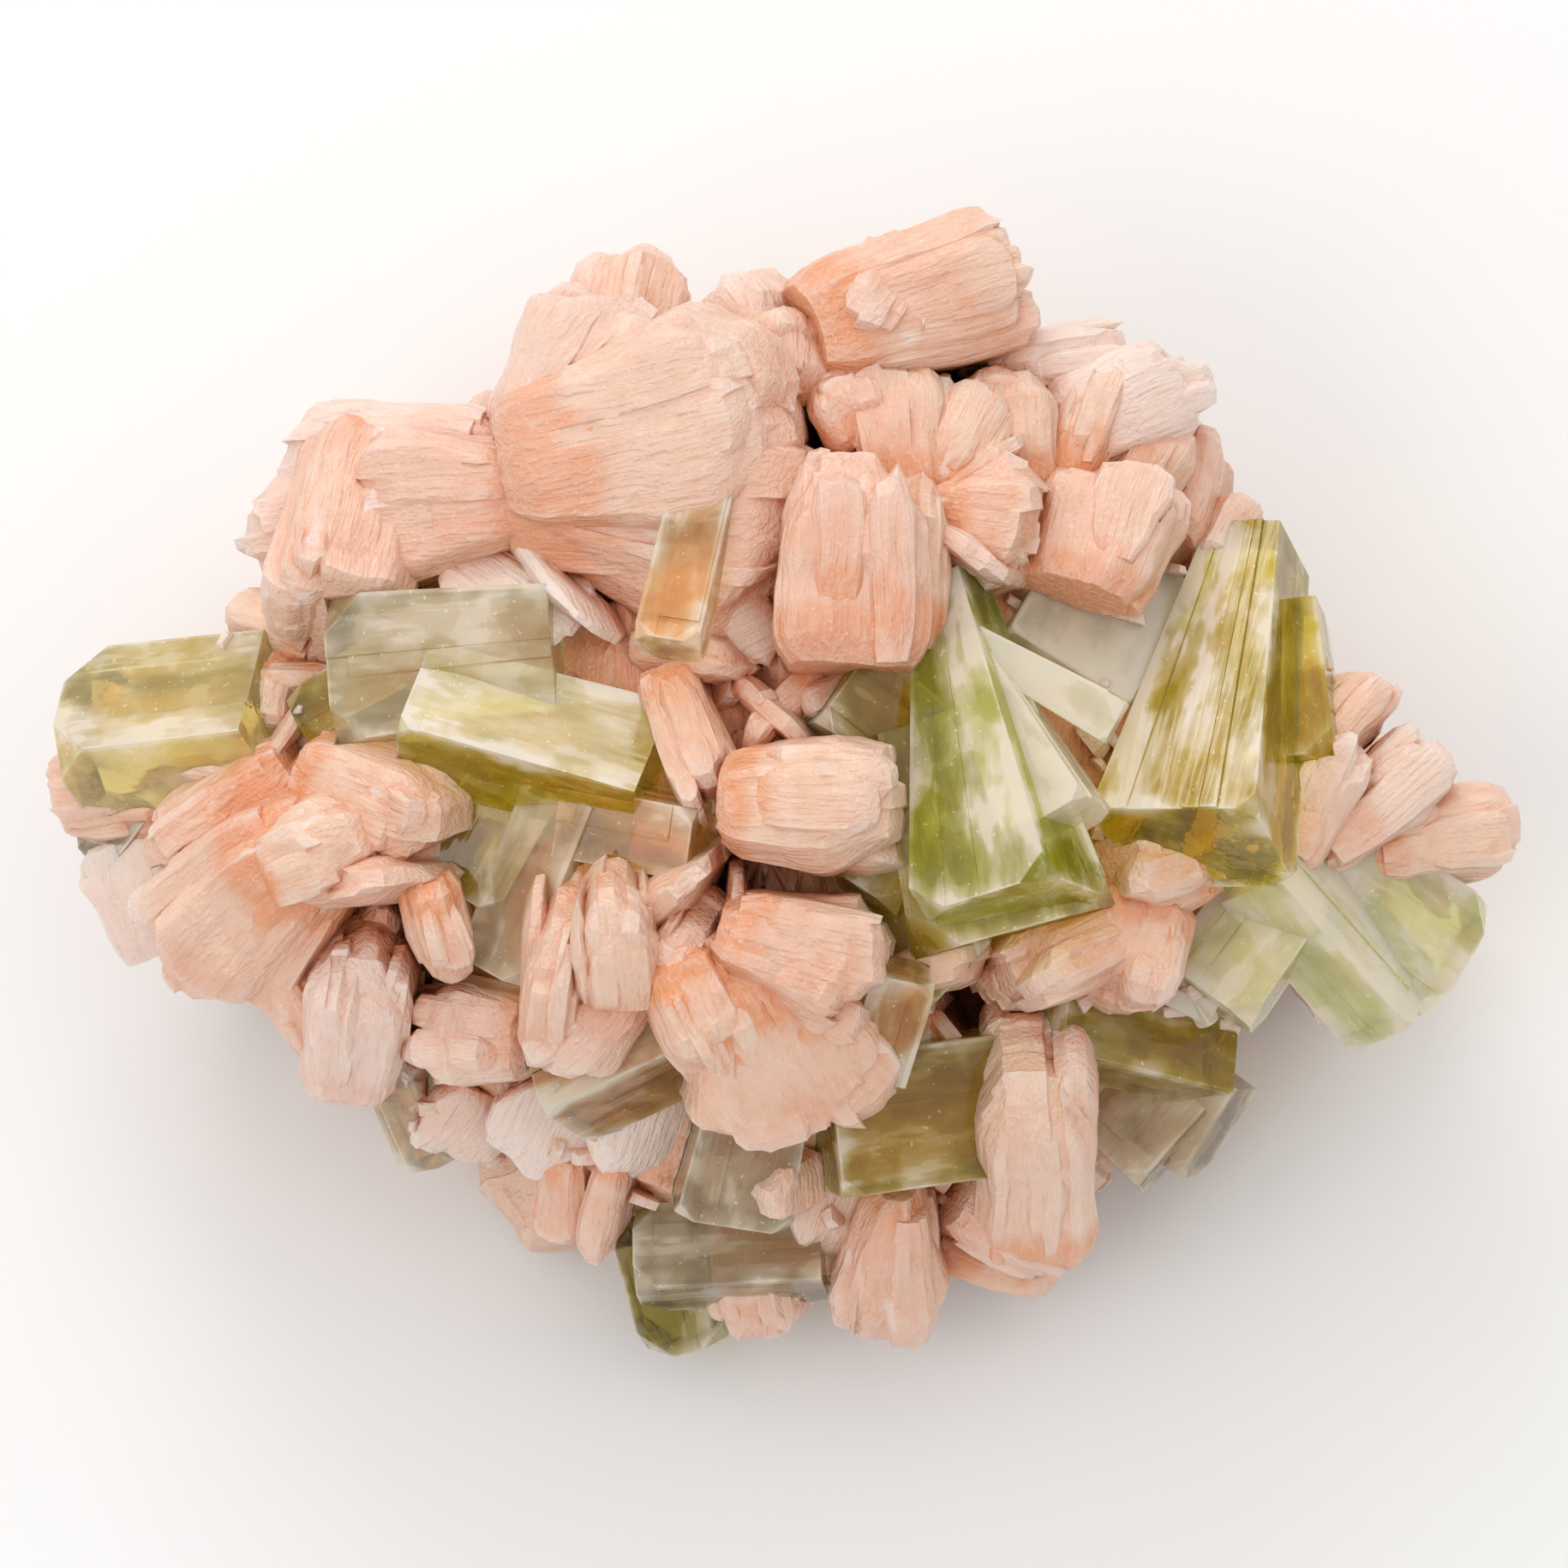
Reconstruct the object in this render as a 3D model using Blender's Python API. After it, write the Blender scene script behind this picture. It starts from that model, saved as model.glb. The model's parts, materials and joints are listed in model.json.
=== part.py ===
"""Apophyllite on stilbite: a hand-sized crystal group that rests on its flat sawn base.

The stilbite (matrix lump, sheaves and blades, all grown together) is one solid. The clear apophyllite
crystals sit in sockets in it, and those that grew through each other are joined.
The crystals are laid out on the specimen's face: x to the right and y up across the face, in grid steps,
and z out of it. The face leans back a little from the flat base.
"""

import math
import random

import bmesh
import bpy
from mathutils import Matrix, Vector, noise

# Driving dimensions, in metres
SPECIMEN_WIDTH = 0.139
FACE_LEAN = math.radians(15)
FACE_PLACE = (0.0, 0.0014, 0.025)
SOCKET_GAP = 0.0003

# Layout unit: the specimen is 173.6 grid steps wide
GRID = SPECIMEN_WIDTH / 173.6

# The stilbite dome that carries the crystals, in grid steps
DOME_HEIGHT = 27.0
DOME_REACH = (84.0, 64.0)
DOME_POWER = 1.5
LUMP_RINGS = (0.86, 0.66, 0.42, 0.16)
LUMP_SKIRT = ((0.98, -8.0), (0.88, -30.0), (0.80, -60.0))
LUMP_ROUGHNESS = 3.2
LUMP_OUTLINE = (
    (-73, 4), (-62, 13), (-56, 30), (-40, 38), (-25, 46), (-8, 50), (12, 54), (28, 48),
    (42, 42), (50, 28), (58, 15), (68, 2), (77, -6), (70, -17), (55, -23), (46, -34),
    (34, -45), (22, -54), (4, -56), (-14, -57), (-27, -48), (-41, -40), (-54, -28), (-70, -15),
)

# Form of a sheaf: how much its sides round off and bulge, and how its end is hipped and notched
ROUNDING = 0.22
BULGE = 0.10
HIP_WIDTH = 0.74
HIP_DEPTH = 0.42
HIP_FALL = 0.55
NOTCH = 0.30
POINT = 0.34
FILLER_POINT = 0.4
LAYER_WIDTH = 7.0
MOST_LAYERS = 4
TALL_SPREAD = 15.0

# Seeded sheaves, which cover the flanks, and blades, which crowd the gaps on the dome
SEED = 11
FLANK_SHEAVES = 27
FLANK_LEVELS = (-3, -19, -10, -27)
FLANK_ROOT = 0.84
FLANK_RISE = 9.0
DOME_BLADES = 12

# Sheaves and fingers of stilbite: name, root, tip, spread at root and tip, breadth, roll and, where the
# end is blunter or sharper than most, its height as a share of the breadth.
# Root and tip are (x, y, height above the dome). Blades stack across the spread; at roll 0 the
# spread lies in the face and at roll 90 the broad side of the blades faces out.
SHEAVES = (
    ("king fan crown top", (-30, 37, 9), (-16, 54.5, 12), (13, 22), 22, 0, 0.2),
    ("king fan crown", (-31, 38, 9), (0, 45, 14), (14, 24), 24, 0, 0.2),
    ("king fan", (-31, 35, 6), (3, 35, 8), (12, 38), 20, 0, 0.2),
    ("king fan left wing", (-28, 34, 7), (-50, 32.5, 8), (10, 17), 16, 0),
    ("king fan back lobe", (-32, 39, 4), (-58, 36, 4), (9, 16), 14, 0),
    ("left shoulder", (-49, 39, 5), (-53.5, 17, 9), (14, 15), 18, 0, 0.16),
    ("left shoulder corner", (-46, 33, 2), (-63.5, 30, 3), (16, 10), 14, 0),
    ("north peak", (-21, 45, 7), (-17.8, 61.5, 6), (12, 12), 12, 20),
    ("north boat", (1, 49, 6), (-6, 57.5, 7), (12, 13), 8, 60),
    ("north boat keel", (-2, 43, 7), (-1, 54, 9), (10, 11), 12, 30),
    ("crest sheaf", (2, 53, 11), (26.5, 60.5, 13), (13, 15.5), 20, 0, 0.12),
    ("crest sheaf lower lip", (8, 52, 11), (27, 56.5, 11), (9, 6), 16, 0),
    ("crest sheaf heel", (15, 59, 11), (8.5, 48, 12), (13, 13), 18, 0),
    ("crest wedge", (24, 57, 7), (20, 48.5, 7), (6, 8), 12, 0),
    ("north east ledge", (22, 49, 6), (38.3, 51.5, 6), (6, 6), 14, 0),
    ("north east block", (31, 41, 5), (47.5, 48, 7), (11, 11), 15, 0),
    ("east finger one", (28, 33, 3), (26.5, 48.5, 9), (8, 10), 14, 0),
    ("east finger two", (32, 32, 2), (37.5, 47.5, 8), (7, 8), 14, 0),
    ("east finger three", (38, 28, 2), (45.5, 42, 5), (8, 9), 14, 0),
    ("east rim arc", (46, 27, 1), (50, 40.5, 1), (6, 5), 12, 0),
    ("east rim finger", (50, 24, 1), (54.8, 33, 2), (6, 6), 10, 0),
    ("east table", (34, 22.5, 9), (39, 37, 11), (9, 9), 14.5, 78, 0.2),
    ("star ray south east", (16, 32, 8), (30.5, 30, 10), (5, 15), 12, 0),
    ("star ray north east", (17, 32, 7), (23.5, 46, 8), (6, 9), 12, 0),
    ("star ray north", (15, 32, 7), (12.5, 48.5, 9), (7, 11), 12, 0),
    ("star ray north west", (10, 38, 6), (6.5, 48, 8), (7, 9), 12, 0),
    ("tall block", (7.8, 13.3, 8), (8.6, 38.8, 14), (16.5, 14), 20, 0),
    ("tall block step", (15, 15.5, 5), (16, 36.5, 11), (7, 6), 16, 0),
    ("hexagon plate", (-38, 27, 8), (-24, 18, 9), (3, 3), 11, 66),
    ("leaning plate", (-31, 30, 5), (-21, 17.3, 9), (3, 3), 9, 14),
    ("under blade west", (-17, 16, 2), (-3, 14, 4), (5, 5), 8, 0),
    ("pale chip", (-1, 20, 5), (-7.5, 16, 6), (2, 2), 6, 70),
    ("hanging finger", (-14, 12.5, 2), (-7.5, -4.5, 6), (7, 7.5), 12, 0),
    ("crossed blade one", (-5, 12, 2), (3.5, 4, 3), (3, 3.5), 7, 0),
    ("crossed blade two", (4, 13, 2), (-3, 3, 2), (4, 4), 6, 30),
    ("crossed blade three", (8, 12, 1), (1, 9, 3), (4, 4), 6, 0),
    ("barrel", (-6, -2, 8), (14.6, -2.6, 13), (11, 14), 20, 0),
    ("west plate", (-55, 1.5, 6), (-38.5, -5, 10), (11, 12), 12, 24),
    ("west fan", (-52, -4, 9), (-68, -20.5, 7), (12, 20), 18, 0),
    ("west fan brow", (-60, -10, 10), (-47.5, -5, 12), (9, 10), 14, 0),
    ("west fan back plate", (-57, 3, 3), (-73.5, -9, 3), (8, 9), 12, 0),
    ("west hook", (-55, -12, 11), (-40.5, -10.5, 14), (5.5, 5), 12, 0),
    ("west hook tip", (-42, -10, 11), (-39, -21.5, 10), (6, 6), 12, 0),
    ("west finger", (-62, -17, 9), (-54.5, -31, 9), (5.5, 6), 12, 0),
    ("west block", (-51.5, -33, 5), (-48.5, -16.5, 12), (10, 11), 16, 0),
    ("west rim plate", (-75, -20.5, 2), (-80, -6, 3), (3, 3), 8.5, 66),
    ("west rim wedge", (-70, -13, 3), (-77.5, -15.5, 5), (5, 5), 9, 0),
    ("rim knob", (-72, 0, -2), (-86.4, -1, -3), (11, 11), 10, 0),
    ("small finger one", (-53, 12.5, 2), (-67, 12.5, 3), (3.5, 3.5), 7, 0),
    ("small finger two", (-59.5, 14, 1), (-61, 5.5, 4), (4, 4.5), 7, 0),
    ("small block", (-60, 2, 1), (-71.5, 3.5, 3), (6, 6), 9, 0),
    ("slant blade one", (-63, 0, 2), (-54, 13, 4), (2.2, 2.2), 9, 0),
    ("slant blade two", (-58, 0, 2), (-50.5, 9, 3), (3, 3), 8, 0),
    ("north west crust", (-55, 15, 0), (-66.5, 20, 0), (6, 6), 8, 30),
    ("south fan streak blade", (-27.5, -29, 8), (-25.5, -12, 12), (6.5, 6.5), 18, 0),
    ("south upright", (-19, -23, 10), (-20.2, -9.5, 14), (9, 8.5), 18, 0),
    ("south slant finger", (-15.5, -15, 8), (-7, -7.5, 11), (5, 4.5), 12, 0),
    ("south small block", (-13.5, -21, 9), (-9, -14, 13), (6, 6), 12, 0),
    ("south small finger", (-5.5, -19, 8), (-5.5, -10, 9), (3, 3), 9, 0),
    ("south prism", (-13.5, -19.5, 10), (-6, -34, 13), (9, 9.5), 18, 0),
    ("south west fan", (-15, -20, 9), (-27.5, -31, 8), (7, 13), 16, 0),
    ("south fan brow", (-8, -17, 9), (11.5, -23.5, 11), (9, 16), 20, 0, 0.2),
    ("south fan", (-7, -18, 9), (4.5, -40, 8.5), (9, 24), 20, 0),
    ("fluted fan", (-29, -30, 4), (-44.2, -29, 6), (9, 11), 14, 0),
    ("low table one", (-24, -36, 2), (-29.5, -46.5, 3), (4, 4), 12, 70),
    ("low table two", (-35, -36, 0), (-41, -44.5, 1), (4, 4), 8, 60),
    ("low table three", (-15, -35, 2), (-19, -46, 3), (5, 5), 11, 55),
    ("low blade one", (-19, -43, 1), (-22, -55.5, 1), (4, 4.5), 9, 10),
    ("low blade two", (-25, -43, 0), (-25.3, -53, -1), (5, 6), 8, 30),
    ("south lobe", (-4, -54, -2), (-2.5, -64.3, -4), (11, 11), 9, 0),
    ("south chip", (1, -44, 5), (1.2, -51, 6), (5, 5), 7, 45),
    ("south table", (9, -45, 1), (5, -55.5, 2), (4, 4), 8.5, 62),
    ("keel blade", (13.5, -46, 4), (11.8, -65.6, 1), (6, 12.5), 13, 0, 0.7),
    ("south east block", (30, -53, 2), (29, -31, 11), (12.5, 12), 16, 0),
    ("south east corner", (28, -47, 3), (36.5, -40.5, 4), (10, 6), 14, 0),
    ("flank fan one", (19, -49, 2), (32, -55.5, 1), (7, 8), 12, 0),
    ("flank fan two", (17, -54, -1), (31.5, -59.5, -3), (6, 6), 9, 0),
    ("cave block west", (40, -17, 3), (25.5, -23.5, 8), (9, 9), 14, 0),
    ("cave block south", (43, -13, 3), (38.5, -27, 8), (11, 12), 14, 0),
    ("cave lintel", (50, -7, 2), (36.5, -11.5, 5), (10, 11), 12, 0),
    ("cave tooth", (13, -22.5, 3), (24.5, -20, 6), (5, 5), 10, 0),
    ("east bud", (68, -8, 1), (86.6, -4.6, 2), (9, 10.5), 11, 0),
    ("east plate one", (62, -9, 2), (77.5, 3.5, 3), (7, 9), 12, 0),
    ("east plate two", (60, -10, 3), (67, 6, 5), (6, 8), 12, 0),
    ("east plate three", (58, 0, 0), (70, 11, 0), (8, 8), 10, 0),
    ("east heel", (74, -8, 0), (78.5, -14.5, -1), (5, 5), 8, 0),
)

# Apophyllite prisms by node: root, tip, (width, depth) at the root and at the tip, roll and the share of
# the width that the corner faces cut off. Roll 45 turns a prism edge to the front.
PRISMS = {
    "apophyllite_left_prism": (
        ((-60, 7.5, 2), (-83.3, 4.8, 4), (15.5, 15.5), (16, 16), 40, 0.30),
        ((-76, -1, 0), (-81.5, -8, -1), (7, 7), (7, 7), 20, 0.30),
    ),
    "apophyllite_left_cluster": (
        ((-26, 15, 4), (-52.5, 12.5, 8), (15, 15), (17.5, 15), 8, 0.30),
        ((-15.5, 0.5, 6), (-43.5, 8, 9), (14, 13), (13, 13), 35, 0.12),
        ((-45, 13, 2), (-57, 6.5, 5), (8, 9), (7, 8), 20, 0.35),
        ((-30, 0, 1), (-37.5, -12.5, 3), (12, 12), (12, 12), 12, 0.20),
        ((-24, -0.5, 6), (-32.5, -22, 7), (9, 9), (8.5, 9), 28, 0.25),
        ((-25, -3.5, 5), (-9.3, -6.5, 8), (9, 11), (8.5, 11), 10, 0.20),
    ),
    "apophyllite_fan_prism": (
        ((-8.2, 38, 15), (-13.5, 15.6, 17), (6.8, 6.5), (7.2, 6.5), 12, 0.22),
    ),
    "apophyllite_green_cluster": (
        ((19.5, 24, 8), (26.8, -14.5, 18), (6, 8), (18, 18), 24, 0.22),
        ((20, 8, 4), (27, -17.5, 9), (18, 14), (24, 16), 0, 0.35),
        ((21.5, 16, 8), (32.2, -5, 16.5), (5, 8), (10.5, 12), 10, 0.16),
        ((22, 16.5, 9), (39, 7, 12.5), (4, 8), (5.5, 8), 0, 0.12),
        ((17, 3, 2), (6, 11.5, 4), (11, 10), (11, 10), 10, 0.20),
        ((17, -3, 4), (9.5, -13.5, 7), (9, 9), (8.5, 9), 15, 0.25),
        ((10, -12, 1), (21, -22, 5), (10, 9), (11, 9), 12, 0.20),
    ),
    "apophyllite_back_block": (
        ((39.8, 26, -3), (31.8, 11.5, 1.5), (16.5, 10), (17, 10), -6, 0.10),
    ),
    "apophyllite_great_prism": (
        ((56.5, 28, 4), (48, -7.5, 14), (9, 12), (20.5, 17), 26, 0.15),
        ((60, 20, 1), (60.5, 1, 4), (8, 10), (11, 12), 12, 0.30),
    ),
    "apophyllite_crossed_prisms": (
        ((58.5, -7, -0.5), (79.3, -21, 4), (14, 10), (15.5, 11), -10, 0.32),
        ((56.5, -9, 5), (72.5, -27, 8), (9, 11), (9.5, 11), 40, 0.14),
        ((60, -12, 3), (50, -25.5, 6), (12, 9), (13, 10), 10, 0.32),
    ),
    "apophyllite_low_right_prism": (
        ((50.2, -32.8, -1.0), (29.6, -27.6, 3.5), (9.5, 11), (9.5, 11), 16, 0.20),
    ),
    "apophyllite_yellow_block": (
        ((26.5, -37.2, 3), (4.6, -40.2, 5), (16.5, 13), (16.5, 13), -6, 0.15),
    ),
    "apophyllite_small_box": (
        ((10.2, -33.5, 13), (13.6, -21.6, 14), (7, 7), (7.4, 7), 10, 0.20),
    ),
    "apophyllite_amber_block": (
        ((-12, -29, 6.5), (-27, -36.2, 8), (10.5, 12), (10.5, 12), 30, 0.18),
    ),
    "apophyllite_white_block": (
        ((-3.2, -35.5, 2), (-6.4, -50.5, 4.5), (12, 10), (13.8, 10), -8, 0.22),
    ),
    "apophyllite_foot_pair": (
        ((5, -55.5, 0), (-17.4, -56.6, 1), (10, 10.5), (10.5, 10.5), 18, 0.30),
        ((-14.5, -53, -7), (-11.5, -66.8, -6.5), (11, 9), (10, 9), 10, 0.42),
    ),
    "apophyllite_rim_pair": (
        ((47, -35.8, -9.3), (38.5, -44.6, -7.2), (11, 9), (12, 9), 12, 0.22),
        ((52, -34, -9), (45, -44.5, -8), (9, 8), (10, 8), 20, 0.30),
    ),
    "apophyllite_lower_left": (
        ((-47.5, -30, -1), (-41.5, -44.5, -1), (6, 7), (6, 7), 30, 0.22),
    ),
}

# Finish of the two minerals: colour, roughness, share of light let through
STILBITE_FINISH = ((0.84, 0.50, 0.36, 1.0), 0.42, 0.0)
APOPHYLLITE_FINISH = ((0.62, 0.60, 0.28, 1.0), 0.12, 0.8)
APOPHYLLITE_IOR = 1.535


def clear_scene():
    for obj in list(bpy.data.objects):
        bpy.data.objects.remove(obj)


def finish_material(name, finish):
    colour, roughness, through = finish
    material = bpy.data.materials.new(name)
    material.use_nodes = True
    shader = material.node_tree.nodes["Principled BSDF"]
    shader.inputs["Base Color"].default_value = colour
    shader.inputs["Roughness"].default_value = roughness
    shader.inputs["Transmission Weight"].default_value = through
    shader.inputs["IOR"].default_value = APOPHYLLITE_IOR
    return material


def dome_height(x, y):
    """Height of the stilbite dome above the face's rim plane, in grid steps."""
    reach = (abs(x) / DOME_REACH[0]) ** DOME_POWER + (abs(y) / DOME_REACH[1]) ** DOME_POWER
    return DOME_HEIGHT * max(0.0, 1.0 - reach ** (2.0 / DOME_POWER))


def on_dome(place):
    x, y, lift = place
    return Vector((x, y, dome_height(x, y) + lift))


def face_matrix():
    """From grid steps on the leaning face to metres in the object's frame."""
    lean = Matrix.Rotation(FACE_LEAN, 4, "X")
    return Matrix.Translation(FACE_PLACE) @ lean @ Matrix.Scale(GRID, 4)


def stand_along(root, tip, roll):
    """Matrix that stands a crystal, built along +Z with its spread along X, from root towards tip."""
    axis = (tip - root).normalized()
    outward = Vector((0, 0, 1))
    side = axis.cross(outward).normalized()
    front = side.cross(axis).normalized() * -1
    turned = Matrix((side, front, axis)).transposed()
    if turned.determinant() < 0:
        turned = Matrix((-side, front, axis)).transposed()
    return Matrix.Translation(root) @ turned.to_4x4() @ Matrix.Rotation(math.radians(roll), 4, "Z")


def mesh_object(name, bm, material):
    bm.normal_update()
    bmesh.ops.recalc_face_normals(bm, faces=bm.faces)
    mesh = bpy.data.meshes.new(name)
    bm.to_mesh(mesh)
    bm.free()
    mesh.materials.append(material)
    obj = bpy.data.objects.new(name, mesh)
    bpy.context.scene.collection.objects.link(obj)
    return obj


def edges_along(bm, axis):
    """Edges that run along one axis of a box-like mesh."""
    return [e for e in bm.edges if abs((e.verts[0].co - e.verts[1].co).normalized()[axis]) > 0.99]


def layered_box(layers, rows):
    """Unit box on the XY plane, cut into layers across X and rows along Z."""
    bm = bmesh.new()
    bmesh.ops.create_cube(bm, size=1.0, matrix=Matrix.Translation((0, 0, 0.5)))
    if layers > 1:
        bmesh.ops.subdivide_edges(bm, edges=edges_along(bm, 0), cuts=layers - 1, use_grid_fill=True)
    if rows > 1:
        bmesh.ops.subdivide_edges(bm, edges=edges_along(bm, 2), cuts=rows - 1, use_grid_fill=True)
    return bm


def raised_corners(bm, faces):
    """Extrudes a region of faces in place and returns its new vertices."""
    edges = {edge for face in faces for edge in face.edges}
    raised = bmesh.ops.extrude_face_region(bm, geom=[*faces, *edges])["geom"]
    return [item for item in raised if isinstance(item, bmesh.types.BMVert)]


def sheaf_mesh(length, spread, breadth, point, rng):
    """A half sheaf along +Z: blades stacked across X that splay out to a convex, hipped and notched end."""
    root_spread, tip_spread = spread
    layers = max(1, min(MOST_LAYERS, round(tip_spread / LAYER_WIDTH)))
    point_height = min(0.5 * length, point * breadth)
    shaft = length - point_height
    crown = 0.06 + 0.22 * max(0.0, tip_spread - root_spread) / length
    bm = layered_box(layers, 2 if tip_spread > TALL_SPREAD else 1)
    ends = [f for f in bm.faces if f.calc_center_median().z > 0.999]
    for vert in bm.verts:
        across, along = 2 * vert.co.x, vert.co.z
        width = root_spread + (tip_spread - root_spread) * along**1.3
        depth = breadth * (1.0 - ROUNDING * across**2) * (1.0 + BULGE * math.sin(math.pi * along))
        vert.co = (vert.co.x * width, vert.co.y * depth, along * shaft * (1.0 - crown * across**2))
    for vert in raised_corners(bm, ends):
        across = 2 * vert.co.x / tip_spread
        vert.co.x *= HIP_WIDTH
        vert.co.y *= HIP_DEPTH
        vert.co.z += point_height * (1.0 - HIP_FALL * across**2) * rng.uniform(1.0 - NOTCH, 1.0)
    return bm


def prism_mesh(length, root_size, tip_size, corner):
    """A square prism along +Z whose far corners are cut by the pyramid faces."""
    bm = bmesh.new()
    bmesh.ops.create_cube(bm, size=1.0, matrix=Matrix.Translation((0, 0, 0.5)))
    for vert in bm.verts:
        size = tip_size if vert.co.z > 0.5 else root_size
        vert.co = (vert.co.x * size[0], vert.co.y * size[1], vert.co.z * length)
    far = [v for v in bm.verts if v.co.z > 0.5 * length]
    bmesh.ops.bevel(
        bm, geom=far, offset=corner * min(tip_size), offset_type="OFFSET", affect="VERTICES",
        segments=1, profile=0.5, material=-1,
    )
    return bm


def lump_mesh():
    """The stilbite lump: a skirt that runs below the base plane, and rings that close over the dome."""
    bm = bmesh.new()
    skirt_scale, skirt_depth = LUMP_SKIRT[-1]
    verts = [bm.verts.new((x * skirt_scale, y * skirt_scale, skirt_depth)) for x, y in LUMP_OUTLINE]
    top = bm.faces.new(verts)
    levels = [(s, z) for s, z in reversed(LUMP_SKIRT[:-1])] + [(s, None) for s in LUMP_RINGS]
    for scale, height in levels:
        top = raised_corners(bm, [top])[0].link_faces
        top = max(top, key=lambda face: len(face.verts))
        ring = sorted_ring(top)
        for vert, (x, y) in zip(ring, LUMP_OUTLINE):
            x, y = x * scale, y * scale
            vert.co = (x, y, dome_height(x, y) if height is None else height)
            vert.co += noise.noise_vector(vert.co * 0.13) * LUMP_ROUGHNESS
    bmesh.ops.triangulate(bm, faces=bm.faces)
    return bm


def sorted_ring(face):
    """The face's vertices from the one nearest to the outline's first point, in the outline's order."""
    ring = list(face.verts)
    first = Vector(LUMP_OUTLINE[0])
    angles = [first.angle_signed(v.co.xy, 0.0) for v in ring]
    start = min(range(len(ring)), key=lambda i: abs(angles[i]))
    ring = ring[start:] + ring[:start]
    if ring[1].co.xy.angle_signed(ring[0].co.xy, 0.0) * winding() < 0:
        ring = ring[:1] + ring[:0:-1]
    return ring


def winding():
    first, second = Vector(LUMP_OUTLINE[0]), Vector(LUMP_OUTLINE[1])
    return 1.0 if second.angle_signed(first, 0.0) > 0 else -1.0


def filling_sheaves():
    """Root, tip, spread, breadth and roll of the seeded sheaves on the flanks and between the others."""
    rng = random.Random(SEED)
    rows = []
    for index in range(FLANK_SHEAVES):
        turn = index / FLANK_SHEAVES * len(LUMP_OUTLINE)
        near, far = LUMP_OUTLINE[int(turn)], LUMP_OUTLINE[(int(turn) + 1) % len(LUMP_OUTLINE)]
        rim = Vector(near).lerp(Vector(far), turn % 1)
        level = FLANK_LEVELS[index % len(FLANK_LEVELS)]
        reach = rng.uniform(0.98, 1.04) + 0.003 * level
        root = Vector((rim.x * FLANK_ROOT, rim.y * FLANK_ROOT, level - rng.uniform(-0.6, 1.0) * FLANK_RISE))
        aside = Vector((-rim.y, rim.x)).normalized() * rng.choice((-1, 1)) * rng.uniform(6, 18)
        tip = Vector((rim.x * reach + aside.x, rim.y * reach + aside.y, level))
        spread = (rng.uniform(8, 10), rng.uniform(11, 16))
        rows.append((root, tip, spread, rng.uniform(14, 20), rng.uniform(0, 180)))
    for _ in range(DOME_BLADES):
        angle, reach = rng.uniform(0, 2 * math.pi), math.sqrt(rng.uniform(0.02, 0.85))
        x, y = DOME_REACH[0] * reach * math.cos(angle) * 0.9, DOME_REACH[1] * reach * math.sin(angle) * 0.9
        root = on_dome((x, y, -4))
        heading = Vector((rng.uniform(-1, 1) + x / 90, rng.uniform(-1, 1) + y / 70, rng.uniform(0.3, 1.0)))
        tip = root + heading.normalized() * rng.uniform(8, 12)
        thick = rng.uniform(2, 4.5)
        rows.append((root, tip, (thick, thick), rng.uniform(4.5, 7), rng.uniform(0, 180)))
    return rows


def stilbite_shapes():
    """The meshes that fuse into the stilbite, each as (bmesh, matrix in the face's grid)."""
    rng = random.Random(SEED)
    for name, root, tip, spread, breadth, roll, *point in SHEAVES:
        root, tip = on_dome(root), on_dome(tip)
        bm = sheaf_mesh((tip - root).length, spread, breadth, *(point or [POINT]), rng)
        yield bm, stand_along(root, tip, roll)
    for root, tip, spread, breadth, roll in filling_sheaves():
        bm = sheaf_mesh((tip - root).length, spread, breadth, FILLER_POINT, rng)
        yield bm, stand_along(root, tip, roll)


def prism_shapes(node, grow=0.0):
    """The meshes that fuse into one apophyllite node, each grown all round by some grid steps."""
    for root, tip, root_size, tip_size, roll, corner in PRISMS[node]:
        root, tip = on_dome(root), on_dome(tip)
        ahead = (tip - root).normalized() * grow
        root, tip = root - ahead, tip + ahead
        root_size = [side + 2 * grow for side in root_size]
        tip_size = [side + 2 * grow for side in tip_size]
        yield prism_mesh((tip - root).length, root_size, tip_size, corner), stand_along(root, tip, roll)


def helper_collection(name):
    collection = bpy.data.collections.new(name)
    bpy.context.scene.collection.children.link(collection)
    return collection


def add_helper(bm, matrix, collection, material):
    """A hidden mesh in metres that a Boolean reads."""
    bm.transform(face_matrix() @ matrix)
    helper = mesh_object("helper", bm, material)
    bpy.context.scene.collection.objects.unlink(helper)
    collection.objects.link(helper)
    helper.hide_render = True
    helper.display_type = "WIRE"
    return helper


def add_boolean(obj, operation, collection):
    modifier = obj.modifiers.new(operation.title(), "BOOLEAN")
    modifier.operation = operation
    modifier.operand_type = "COLLECTION"
    modifier.collection = collection
    modifier.solver = "EXACT"


def fused(name, shapes, material):
    """One object from overlapping shapes: the first is the body and the others are joined to it."""
    shapes = list(shapes)
    first, matrix = shapes[0]
    first.transform(face_matrix() @ matrix)
    obj = mesh_object(name, first, material)
    if len(shapes) > 1:
        parts = helper_collection(name + " shapes")
        for bm, place in shapes[1:]:
            add_helper(bm, place, parts, material)
        add_boolean(obj, "UNION", parts)
    return obj


def floor_block():
    """A block under the base plane, which saws the base flat."""
    bm = bmesh.new()
    side, deep = 2 * SPECIMEN_WIDTH, 0.5 * SPECIMEN_WIDTH
    bmesh.ops.create_cube(bm, size=1.0)
    bmesh.ops.scale(bm, vec=(side, side, deep), verts=bm.verts)
    bmesh.ops.translate(bm, vec=(0, 0, -deep / 2), verts=bm.verts)
    return bm


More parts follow.
